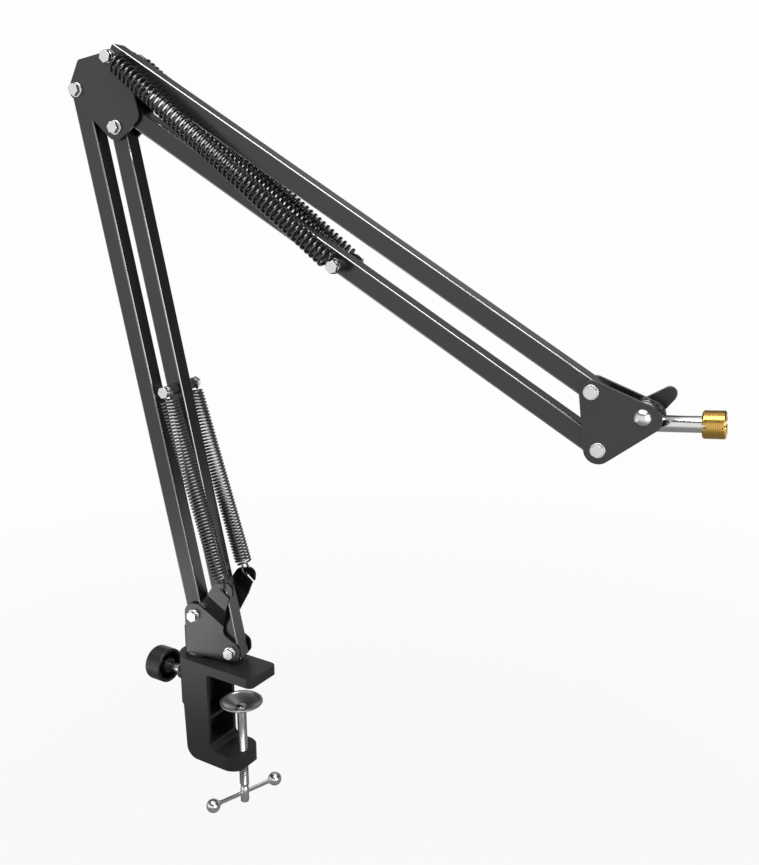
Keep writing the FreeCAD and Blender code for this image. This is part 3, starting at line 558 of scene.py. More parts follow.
@dataclass
class Workshop:
    """Holds the frame and the materials, and puts finished meshes into the scene."""

    frame: dict
    weld: float = 0.002
    flat_turn: float = 0.4
    crease: float = 48.0
    materials: dict[Coat, bpy.types.Material] = field(default_factory=dict)

    def __post_init__(self) -> None:
        """Make every finish's material once."""
        for coat in Coat:
            self.materials[coat] = coat.value.material()

    def joint(self, name: str) -> dict:
        """One joint of the frame by its name."""
        return next(joint for joint in self.frame["joints"] if joint["name"] == name)

    def body(self, node: str) -> str:
        """The body that carries a node."""
        bodies = self.frame["record"]["behaviour"]["bodies"]
        return next(name for name, nodes in bodies.items() if node in nodes)

    def _dress(self, mesh: bpy.types.Mesh, coat: Coat) -> None:
        """Give a mesh one finish and no other."""
        mesh.materials.clear()
        mesh.materials.append(self.materials[coat])

    def coat(self, node: str, coat: Coat) -> None:
        """Give a node of the frame its finish and leave its mesh as it is."""
        self._dress(self.frame["nodes"][node].data, coat)
        LOG.info("%s: %s", node, coat.value.name)

    def copy(self, node: str) -> bmesh.types.BMesh:
        """A merged copy of a node's mesh, with its flat faces made whole.

        Args:
            node: the node's name.

        Returns:
            The copy, in metres.
        """
        bm = bmesh.new()
        bm.from_mesh(self.frame["nodes"][node].data)
        bmesh.ops.remove_doubles(bm, verts=bm.verts, dist=self.weld * MM)
        bmesh.ops.dissolve_limit(bm, angle_limit=math.radians(self.flat_turn), verts=bm.verts, edges=bm.edges)
        return bm

    def install(self, name: str, bm: bmesh.types.BMesh, nodes: Sequence[str], coat: Coat,
                place: Matrix | None = None) -> bpy.types.Object:
        """Turn a finished bmesh into a piece that rides with the nodes it stands for.

        Args:
            name: the piece's name.
            bm: the shape, freed here.
            nodes: the nodes that it replaces.
            coat: its finish.
            place: takes the shape into the frame's metres, or none if it is there.

        Returns:
            The new object.
        """
        if place is not None:
            bmesh.ops.transform(bm, matrix=place, verts=bm.verts)
        mesh = bpy.data.meshes.new(name)
        bm.to_mesh(mesh)
        bm.free()
        return self.adopt(name, mesh, nodes, coat, self.body(nodes[0]))

    def adopt(self, name: str, mesh: bpy.types.Mesh, nodes: Sequence[str], coat: Coat,
              body: str | None) -> bpy.types.Object:
        """Make an object of a mesh that lies in the frame's metres.

        Args:
            name: the piece's name.
            mesh: the mesh.
            nodes: the nodes that it replaces.
            coat: its finish.
            body: the body that it rides on, or none for a piece between bodies that rides on none.

        Returns:
            The new object.
        """
        mesh.shade_smooth()
        mesh.set_sharp_from_angle(angle=math.radians(self.crease))
        self._dress(mesh, coat)
        piece = link(name, mesh)
        if body is not None:
            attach(piece, body)
        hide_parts(*nodes)
        LOG.info("%s: %s, %d faces", name, coat.value.name, len(mesh.polygons))
        return piece

    def rounded(self, node: str, width: float, coat: Coat, angle: float = 32.0) -> bpy.types.Object:
        """Replace a node by a copy with rounded edges and even shading.

        Args:
            node: the node's name.
            width: the rounding in millimetres.
            coat: its finish.
            angle: edges that turn by less than this many degrees stay.

        Returns:
            The new object.
        """
        bm = self.copy(node)
        soften(bm, width * MM, angle=angle)
        return self.even(self.install(node + "_made", bm, [node], coat))

    @staticmethod
    def even(piece: bpy.types.Object) -> bpy.types.Object:
        """Keep a piece's broad faces flat in the shading and leave the turn to its roundings."""
        piece.modifiers.new("even_shading", "WEIGHTED_NORMAL").keep_sharp = True
        return piece

    def touch_up(self, piece: bpy.types.Object, coat: Coat,
                 chosen: Callable[[bpy.types.MeshPolygon], bool]) -> None:
        """Give some faces of a piece a second finish.

        Args:
            piece: the piece.
            coat: the second finish.
            chosen: tells whether a face gets it.
        """
        piece.data.materials.append(self.materials[coat])
        for face in piece.data.polygons:
            if chosen(face):
                face.material_index = 1


def ease(share: float) -> float:
    """A share that starts and ends gently, kept between nought and one."""
    kept = min(max(share, 0.0), 1.0)
    return kept * kept * (3 - 2 * kept)


def bevel(bm: bmesh.types.BMesh, edges: Sequence[bmesh.types.BMEdge], width: float, segments: int) -> None:
    """Round some edges of a shape, reaching a width from each in so many steps."""
    bmesh.ops.bevel(bm, geom=edges, offset=width, offset_type="OFFSET", affect="EDGES", segments=segments,
                    profile=0.5, material=-1, clamp_overlap=True)


def soften(bm: bmesh.types.BMesh, width: float, segments: int = 3, angle: float = 32.0,
           where: Callable[[Vector], bool] | None = None) -> None:
    """Round the sharp edges of a shape.

    Args:
        bm: the shape.
        width: how far the rounding reaches from the edge, in the shape's units.
        segments: steps across the rounding.
        angle: edges that turn by less than this many degrees stay.
        where: picks edges by both their ends, or none for all.
    """
    limit = math.radians(angle)
    sharp = [e for e in bm.edges if len(e.link_faces) == 2 and e.calc_face_angle(0.0) > limit]
    if where is not None:
        sharp = [e for e in sharp if all(where(vert.co) for vert in e.verts)]
    bevel(bm, sharp, width, segments)
    bmesh.ops.recalc_face_normals(bm, faces=bm.faces)


def lathe(profile: Iterable[Pair], segments: int, turns: int = 1, pitch: float = 0.0) -> bmesh.types.BMesh:
    """Turn a profile about Z, once round or many turns up a thread.

    Args:
        profile: (radius, height) corners in order.
        segments: steps in each turn.
        turns: how many turns.
        pitch: how far each turn climbs, or nought for a closed round.

    Returns:
        The turned shape.
    """
    bm = bmesh.new()
    corners = [bm.verts.new((radius, 0.0, height)) for radius, height in profile]
    edges = [bm.edges.new(pair) for pair in zip(corners, corners[1:])]
    bmesh.ops.spin(bm, geom=corners + edges, cent=(0, 0, 0), axis=(0, 0, 1), dvec=(0, 0, pitch / segments),
                   angle=2 * math.pi * turns, steps=turns * segments, use_merge=not pitch)
    bmesh.ops.remove_doubles(bm, verts=bm.verts, dist=LATHE_WELD)
    bmesh.ops.recalc_face_normals(bm, faces=bm.faces)
    return bm


def merge(target: bmesh.types.BMesh, extra: bmesh.types.BMesh, place: Matrix | None = None) -> None:
    """Add one shape to another.

    Args:
        target: the shape that grows.
        extra: the shape to add, freed here.
        place: moves the added shape first, or none to leave it.
    """
    if place is not None:
        bmesh.ops.transform(extra, matrix=place, verts=extra.verts)
    mesh = bpy.data.meshes.new("merged")
    extra.to_mesh(mesh)
    extra.free()
    target.from_mesh(mesh)
    bpy.data.meshes.remove(mesh)


@dataclass
class ArmPlane:
    """The arm's upright plane: its pivots in millimetres and the way out to the frame's metres."""

    shop: Workshop
    lower_anchor_reach: float = 188.6
    upper_anchor_reach: float = 172.6
    ear_seat: Pair = (30.1, 26.8)
    matrix: Matrix = field(init=False)

    def __post_init__(self) -> None:
        """Work out the plane and the pivots from the frame's joints."""
        post = Vector(self.shop.joint("swivel")["pos_m"])
        across = Vector(self.shop.joint("lower_lean")["axis"])
        up = Vector((0, 0, 1))
        turn = Matrix((across.cross(up), across, up)).transposed().to_4x4()
        self.matrix = Matrix.Translation((post.x, post.y, 0)) @ turn @ Matrix.Scale(MM, 4)
        self.base_rear = self.pivot("lower_lean")
        self.base_front = self.pivot("lower_right_pivot")
        self.elbow_rear = self.pivot("elbow_level")
        self.elbow_top = self.pivot("upper_lift")
        self.elbow_low = self.pivot("upper_bottom_pivot")
        self.head_top = self.pivot("head_level")
        self.elbow_front = self.elbow_rear + self.base_front - self.base_rear
        self.head_low = self.head_top + self.elbow_low - self.elbow_top
        lower = (self.elbow_rear - self.base_rear).normalized()
        upper = (self.head_top - self.elbow_top).normalized()
        self.lower_anchor = self.base_front + lower * self.lower_anchor_reach
        self.upper_anchor = self.elbow_low + upper * self.upper_anchor_reach
        self.ear = self.base_rear + Vector((self.ear_seat[0], 0, self.ear_seat[1]))

    def pivot(self, name: str) -> Vector:
        """A joint's place in the arm's plane, in millimetres."""
        return self.matrix.inverted() @ Vector(self.shop.joint(name)["pos_m"])

    def facing(self, at: Vector, y: float, front: bool, turn: float = 0.0) -> Matrix:
        """The way out for a turned part whose Z axis looks out of the arm's plane.

        Args:
            at: the axis, in the arm's plane.
            y: where the part's zero height lies across the plane.
            front: whether the part looks to the front.
            turn: how far the part is turned about its own axis, in degrees.

        Returns:
            The matrix into the frame's metres.
        """
        tip = Matrix.Rotation(math.radians(90 if front else -90), 4, "X")
        spin = Matrix.Rotation(math.radians(turn), 4, "Z")
        return self.matrix @ Matrix.Translation((at.x, y, at.z)) @ tip @ spin


@dataclass
class ExtensionSpring:
    """One extension spring: close curls between two rings that hook over their anchors."""

    start: Vector
    end: Vector
    start_seat: float
    end_seat: float
    across_start: Vector
    across_end: Vector
    diameter: float
    wire: float
    curls: int
    hook: float
    neck: float = 1.2
    hook_end: float = 1.3 * math.pi
    drawn_in: float = 0.55 * math.pi
    lifted_in: float = 0.6 * math.pi
    steps: int = 30
    roundness: int = 4

    def _hook(self, base: Vector, outward: Vector, across: Vector, pitch: float) -> Callable[[float], Vector]:
        """A curve from the last curl across the spring's end and round the ring.

        Args:
            base: the end of the curls on the spring's axis.
            outward: the way out of the spring.
            across: a direction in the ring's plane.
            pitch: the rise of one curl.

        Returns:
            A function from an angle to a point.
        """
        coil = (self.diameter - self.wire) / 2
        other = outward.cross(across)

        def point(angle: float) -> Vector:
            """The point at an angle, drawn in to the axis first and then lifted into the ring.

            Args:
                angle: the angle round the ring, from half a turn before its start.

            Returns:
                The point.
            """
            inward = ease((angle + math.pi) / self.drawn_in)
            lifted = ease((angle + self.lifted_in) / self.lifted_in)
            side = (coil + (self.hook - coil) * inward) * math.cos(angle)
            bulge = coil * (1 - inward) * math.sin(angle)
            lift = pitch * (angle + math.pi) / (2 * math.pi)
            ring = self.neck + self.hook + self.hook * math.sin(angle)
            return base + across * side + other * bulge + outward * (lift + (ring - lift) * lifted)

        return point

    def path(self) -> list[Vector]:
        """The wire's middle line.

        Returns:
            Points along the first ring, the curls and the last ring.
        """
        coil = (self.diameter - self.wire) / 2
        axis = (self.end - self.start).normalized()
        first_base = self.start + axis * (self.start_seat + self.hook + self.neck)
        last_base = self.end - axis * (self.end_seat + self.hook + self.neck)
        crossed = self.across_start.cross(self.across_end)
        twist = math.atan2(axis.dot(crossed), self.across_start.dot(self.across_end))
        turn = 2 * math.pi * self.curls + twist
        rise = (last_base - first_base).length / turn
        first = self._hook(first_base, -axis, self.across_start, rise * 2 * math.pi)
        last = self._hook(last_base, axis, self.across_end, rise * 2 * math.pi)
        other = axis.cross(self.across_start)
        count = round(self.curls * self.steps)
        hook = round((self.hook_end + math.pi) / (2 * math.pi) * self.steps)
        angles = [self.hook_end - k * (self.hook_end + math.pi) / hook for k in range(hook)]
        points = [first(angle) for angle in angles]
        for k in range(count + 1):
            angle = turn * k / count
            spoke = self.across_start * math.cos(angle) + other * math.sin(angle)
            points.append(first_base + axis * (rise * angle) - spoke * coil)
        points += [last(angle) for angle in reversed(angles)]
        return points

    def mesh(self, name: str, place: Matrix) -> bpy.types.Mesh:
        """The wire as a mesh.

        Args:
            name: the mesh's name.
            place: takes millimetres of the arm's plane into the frame's metres.

        Returns:
            The mesh in the frame's metres.
        """
        curve = bpy.data.curves.new(name, "CURVE")
        curve.dimensions = "3D"
        curve.bevel_depth = self.wire / 2 * MM
        curve.bevel_resolution = self.roundness
        curve.use_fill_caps = True
        points = [place @ point for point in self.path()]
        spline = curve.splines.new("POLY")
        spline.points.add(len(points) - 1)
        for knot, point in zip(spline.points, points):
            knot.co = (*point, 1.0)
        holder = link(name, curve)
        view = bpy.context.evaluated_depsgraph_get()
        mesh = bpy.data.meshes.new_from_object(holder.evaluated_get(view))
        mesh.name = name
        bpy.data.objects.remove(holder)
        bpy.data.curves.remove(curve)
        return mesh


@dataclass
class SpringPair:
    """The springs of each arm, front and back, between the bodies that hold their ends."""

    shop: Workshop
    plane: ArmPlane
    standoff: float = 15.5
    bolt_radius: float = 2.0
    play: float = 0.1
    hook: float = 3.9
    upper_diameter: float = 12.3
    upper_wire: float = 2.25
    upper_curls: int = 50
    upper_bend: float = 0.3
    lower_diameter: float = 12.0
    lower_wire: float = 1.5
    lower_curls: int = 56
    lower_bend: float = 0.62

    def build(self) -> None:
        """Make the four springs."""
        for side, y in (("front", -self.standoff), ("back", self.standoff)):
            self._upper("upper_spring_" + side, Vector((0, y, 0)))
            self._lower("lower_spring_" + side, Vector((0, y, 0)))

    def _on_bolt(self, wire: float) -> float:
        """How far inside a bolt's axis the middle of a ring lies that pulls on it."""
        return self.hook - wire / 2 - self.bolt_radius - self.play

    def _upper(self, node: str, shift: Vector) -> None:
        """One spring of the upper arm, from the elbow's top bolt to the lower bar's bolt.

        Args:
            node: the node that it replaces.
            shift: the way from the arm's middle plane to the spring.
        """
        start = self.plane.elbow_top + shift
        end = self.plane.upper_anchor + shift
        side = Vector((0, 1, 0)).cross((end - start).normalized())
        seat = self._on_bolt(self.upper_wire)
        spring = ExtensionSpring(start, end, seat, seat, side, side, self.upper_diameter, self.upper_wire,
                                 self.upper_curls, self.hook)
        bend = start.lerp(end, self.upper_bend)
        self._hang(node, spring, Coat.BLACK_WIRE, start, bend)

    def _lower(self, node: str, shift: Vector) -> None:
        """One spring of the lower arm, from the right bar's bolt to the bracket's ear.

        Args:
            node: the node that it replaces.
            shift: the way from the arm's middle plane to the spring.
        """
        start = self.plane.lower_anchor + shift
        end = self.plane.ear + shift
        across = Vector((0, 1, 0))
        side = across.cross((end - start).normalized())
        spring = ExtensionSpring(start, end, self._on_bolt(self.lower_wire), self.hook, side, across,
                                 self.lower_diameter, self.lower_wire, self.lower_curls, self.hook)
        bend = end.lerp(start, self.lower_bend)
        self._hang(node, spring, Coat.STEEL_WIRE, end, bend)

    def _hang(self, node: str, spring: ExtensionSpring, coat: Coat,
              start: Vector, end: Vector) -> None:
        """Install a spring that runs from one body's end to the other's, on no body.

        Args:
            node: the node that it replaces.
            spring: the spring.
            coat: its finish.
            start: a point in the arm's plane, taken into the frame's metres and then not used.
            end: a point in the arm's plane, taken into the frame's metres and then not used.
        """
        mesh = spring.mesh(node + "_wire", self.plane.matrix)
        piece = self.shop.adopt(node + "_wire", mesh, [node], coat, None)
        self.plane.matrix @ start
        self.plane.matrix @ end
        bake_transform(piece)


@dataclass
class Fasteners:
    """The hex bolts with their nuts and washers at every pivot and spring anchor."""

    shop: Workshop
    plane: ArmPlane
    outer: float = 8.5
    spring_grip_upper: float = 17.45
    spring_grip_lower: float = 17.25
    flats: float = 7.0
    head_height: float = 3.0
    nut_height: float = 3.2
    nut_lead: float = 0.35
    shank_radius: float = 2.0
    bore_play: float = 0.02
    thread_end: float = 0.8
    tip_length: float = 0.5
    tip_taper: float = 0.4
    washer_radius: float = 4.5
    spring_washer_radius: float = 3.8
    washer_thickness: float = 0.8
    flange_radius: float = 4.4
    flange_thickness: float = 0.7
    ring_edge: float = 0.2
    chamfer: float = 1.09
    chamfer_angle: float = 30.0
    top_share: float = 0.93
    top_drop: float = 0.25
    turns: tuple[float, ...] = (8.0, 27.0, 44.0, 13.0, 36.0, 52.0, 20.0, 3.0, 31.0)
    turn_stride: int = 3
    nut_turn: float = 17.0

    def build(self) -> None:
        """Make every set of bolts, washers and nuts."""
        plane = self.plane
        grip = self.outer + self.washer_thickness
        wide, slim = self.washer_radius, self.spring_washer_radius
        self._set("base_pivot", "s", (plane.base_rear, plane.base_front), grip, wide)
        self._set("elbow_pivot", "s", (plane.elbow_rear, plane.elbow_front), grip, wide)
        self._set("head_pivot", "s", (plane.head_top, plane.head_low), self.outer, 0.0)
        self._set("elbow_spring", "", (plane.elbow_top,), self.spring_grip_upper, slim)
        self._set("upper_spring", "", (plane.upper_anchor,), self.spring_grip_upper, slim)
        self._set("lower_spring", "", (plane.lower_anchor,), self.spring_grip_lower, slim)

    def _set(self, name: str, plural: str, points: Sequence[Vector], grip: float, washer: float) -> None:
        """One set: the bolts, the washers and the nuts, each as one piece.

        Args:
            name: the start of the nodes' names.
            plural: what their names end in.
            points: the bolts' axes.
            grip: how far the heads' and nuts' seats are from the arm's plane.
            washer: the washers' radius, or nought for a flanged head without washers.
        """
        bolts, nuts, rings = bmesh.new(), bmesh.new(), bmesh.new()
        seat = grip - self.washer_thickness
        for number, at in enumerate(points):
            turn = self.turns[(len(name) + self.turn_stride * number) % len(self.turns)]
            merge(bolts, self._bolt(grip, not washer), self.plane.facing(at, -grip, True, turn))
            merge(nuts, self._nut(), self.plane.facing(at, grip, False, turn + self.nut_turn))
            for front in (True, False) if washer else ():
                ring = self._ring(washer, self.washer_thickness)
                merge(rings, ring, self.plane.facing(at, -seat if front else seat, front))
        for kind, bm in (("bolt", bolts), ("nut", nuts)):
            node = f"{name}_{kind}{plural}"
            self.shop.even(self.shop.install(node + "_made", bm, [node], Coat.ZINC))
        if washer:
            self.shop.install(f"{name}_washers_made", rings, [f"{name}_washers"], Coat.ZINC)
        else:
            rings.free()

    def _hex_ring(self, bm: bmesh.types.BMesh, segments: int = 48) -> list[bmesh.types.BMEdge]:
        """A hexagon of many points at height nought, as the start of a head or nut.

        Args:
            bm: the shape to add it to.
            segments: how many points.

        Returns:
            The hexagon's edges.
        """
        made = bmesh.ops.create_circle(bm, cap_ends=False, radius=self.flats / 2, segments=segments)
        sixth = math.pi / 3
        for vert in made["verts"]:
            angle = math.atan2(vert.co.y, vert.co.x) % sixth - sixth / 2
            vert.co.xy = vert.co.xy / math.cos(angle)
        return list({edge for vert in made["verts"] for edge in vert.link_edges})

    @staticmethod
    def _next_ring(bm: bmesh.types.BMesh, edges: Sequence[bmesh.types.BMEdge],
                   move: Callable[[Vector], Vector]) -> list[bmesh.types.BMEdge]:
        """Extrude a ring of edges and move its new points.

        Args:
            bm: the shape.
            edges: the ring.
            move: gives each new point's place from the old one's.

        Returns:
            The new ring's edges.
        """
        made = bmesh.ops.extrude_edge_only(bm, edges=edges)["geom"]
        for vert in (part for part in made if isinstance(part, bmesh.types.BMVert)):
            vert.co = move(vert.co)
        return [part for part in made if isinstance(part, bmesh.types.BMEdge) and part.is_boundary]

    def _hex_sides(self, bm: bmesh.types.BMesh, height: float) -> tuple[list, list]:
        """The six sides and the turned chamfer of a head or nut.

        Args:
            bm: the shape to add them to.
            height: the height of the finished top.

        Returns:
            The bottom ring's edges and the top ring's edges.
        """
        face = self.flats / 2 * self.chamfer
        slope = math.tan(math.radians(self.chamfer_angle))
        bottom = self._hex_ring(bm)

        def shoulder(co: Vector) -> Vector:
            """Where the side meets the chamfer, lower at the corners."""
            return Vector((co.x, co.y, height - self.top_drop - max(co.xy.length - face, 0.0) * slope))

        def crown(co: Vector) -> Vector:
            """The edge of the top face, six-sided with its corners turned off."""
            flat = co.xy.normalized() * min(co.xy.length * self.top_share, face)
            return Vector((flat.x, flat.y, height))

        side = self._next_ring(bm, bottom, shoulder)
        return bottom, self._next_ring(bm, side, crown)

    def _bolt(self, grip: float, flanged: bool) -> bmesh.types.BMesh:
        """A bolt with its head's seat at height nought and the head above it.

        Args:
            grip: how far the seat is from the arm's plane.
            flanged: whether a thin flange is pressed on under the hexagon.

        Returns:
            The bolt.
        """
        bm = bmesh.new()
        bottom, top = self._hex_sides(bm, self.head_height)
        for ring in (top, bottom):
            bmesh.ops.contextual_create(bm, geom=ring)
        length = 2 * grip + self.nut_height + self.thread_end
        shank = self.shank_radius
        merge(bm, lathe([(shank, 0.0), (shank, self.tip_length - length), (shank - self.tip_taper, -length),
                         (0.0, -length)], segments=24))
        if flanged:
            merge(bm, self._ring(self.flange_radius, self.flange_thickness))
        bmesh.ops.recalc_face_normals(bm, faces=bm.faces)
        return bm

    def _nut(self) -> bmesh.types.BMesh:
        """A nut with its seat at height nought.

        Returns:
            The nut.
        """
        bm = bmesh.new()
        bottom, top = self._hex_sides(bm, self.nut_height)
        bore, lead = self.shank_radius + self.bore_play, self.nut_lead
        mouth = self._next_ring(bm, top, lambda co: Vector((*(co.xy.normalized() * (bore + lead)), co.z)))
        throat = self._next_ring(bm, mouth, lambda co: Vector((*(co.xy.normalized() * bore), co.z - lead)))
        seat = self._next_ring(bm, throat, lambda co: Vector((co.x, co.y, 0.0)))
        bmesh.ops.bridge_loops(bm, edges=list(bottom) + list(seat))
        bmesh.ops.recalc_face_normals(bm, faces=bm.faces)
        return bm

    def _ring(self, radius: float, thickness: float) -> bmesh.types.BMesh:
        """A washer or flange round the shank, with rolled edges and its seat at height nought.

        Args:
            radius: its outer radius.
            thickness: its thickness.

        Returns:
            The ring.
        """
        bore = self.shank_radius + self.bore_play
        bm = lathe([(bore, 0.0), (radius, 0.0), (radius, thickness), (bore, thickness), (bore, 0.0)],
                   segments=48)
        soften(bm, self.ring_edge, segments=2)
        return bm


@dataclass
class SheetMetal:
    """The painted bars, plates, bracket and casting, with their edges rounded as paint leaves them."""

    shop: Workshop
    plane: ArmPlane
    bar_edge: float = 0.25
    bar_corner: float = 1.5
    corner_steps: int = 6
    corner_facing: Pair = (0.1, 0.99)
    bar_long: float = 100.0
    bar_lengths: int = 12
    plate_edge: float = 0.42
    bracket_edge: float = 0.4
    bracket_bend: float = 20.0
    casting_edge: float = 1.1
    # which bracket faces get the painted shade: large steps, the inside of the far wall and the front flanges
    fold_area: float = 3.0
    step_facing: Pair = (0.4, 0.97)
    wall_facing: float = 0.5
    flange_facing: float = 0.6
    nose: Triple = (1.3, 0.0, -0.65)
    nose_radius: float = 8.5
    nose_band: float = 0.2
    nose_made: float = 7.8
    nose_shift: Triple = (1.8, 0.0, -0.2)

    def build(self) -> None:
        """Replace each painted node by a copy with rounded edges."""
        for node in ("lower_left_bar", "lower_right_bar", "upper_top_bar", "upper_bottom_bar"):
            self._bar(node)
        for node in ("elbow_plate_front", "elbow_plate_back"):
            self.shop.rounded(node, self.plate_edge, Coat.PAINT)
        for node in ("head_plate_front", "head_plate_back"):
            self._head_plate(node)
        self._bracket()
        self.shop.rounded("clamp_frame", self.casting_edge, Coat.CAST_PAINT)
        self.shop.coat("elbow_rivet", Coat.PAINT)

    def _bar(self, node: str) -> None:
        """A bar with the drawn tube's glossy rounded corners along it and small roundings elsewhere.

        Args:
            node: the bar's node.
        """
        bm = self.shop.copy(node)
        corners = [e for e in bm.edges if e.is_convex and e.calc_length() > self.bar_long * MM]
        runs = [e.verts[1].co - e.verts[0].co for e in corners]
        along = max(runs, key=lambda run: run.length)
        start = corners[runs.index(along)].verts[0].co.copy()
        way = along.normalized()
        bevel(bm, corners, self.bar_corner * MM, self.corner_steps)
        soften(bm, self.bar_edge * MM)
        for step in range(1, self.bar_lengths):
            bmesh.ops.bisect_plane(bm, geom=[*bm.verts, *bm.edges, *bm.faces], dist=0.0,
                                   plane_co=start + along * (step / self.bar_lengths), plane_no=way)
        bar = self.shop.even(self.shop.install(node + "_made", bm, [node], Coat.PAINT))
        flat = max(bar.data.polygons, key=lambda face: face.area).normal.copy()
        low, high = self.corner_facing
        self.shop.touch_up(bar, Coat.EDGE_PAINT, lambda face: low < abs(face.normal.dot(flat)) < high
                           and abs(face.normal.dot(way)) < low)

    def _bracket(self) -> None:
        """The bracket, with painted shade on its steps, its front flanges and the inside of its far wall: a
        darker, less glossy black there.
        """
        bracket = self.shop.rounded("base_bracket", self.bracket_edge, Coat.BRACKET_PAINT, self.bracket_bend)
        forward, across = (self.plane.matrix.col[axis].to_3d().normalized() for axis in (0, 1))
        low, high = self.step_facing

        def in_painted_shade(face: bpy.types.MeshPolygon) -> bool:
            """Whether a face gets the painted shade.

            Args:
                face: a face of the bracket.

            Returns:
                True for a step, a front flange or the inside of the far wall.
            """
            sideways = face.normal.dot(across)
            step = low < abs(sideways) < high and face.area > self.fold_area * MM * MM
            beyond = (face.center - self.plane.matrix.translation).dot(across) > 0
            far = sideways < -self.wall_facing and beyond
            return step or far or face.normal.dot(forward) > self.flange_facing

        self.shop.touch_up(bracket, Coat.PAINTED_SHADE_COAT, in_painted_shade)

    def _head_plate(self, node: str) -> None:
        """A head plate with its nose drawn out a little past the tilt pivot.

        Args:
            node: the plate's node.
        """
        bm = self.shop.copy(node)
        inward = self.plane.matrix.inverted()
        nose = self.plane.pivot("mic_tilt") + Vector(self.nose)
        for vert in bm.verts:
            at = inward @ vert.co
            away = Vector((at.x - nose.x, 0.0, at.z - nose.z))
            if abs(away.length - self.nose_radius) < self.nose_band:
                moved = nose + Vector(self.nose_shift) + away * (self.nose_made / self.nose_radius)
                vert.co = self.plane.matrix @ Vector((moved.x, at.y, moved.z))
        soften(bm, self.plate_edge * MM)
        self.shop.even(self.shop.install(node + "_made", bm, [node], Coat.PAINT))


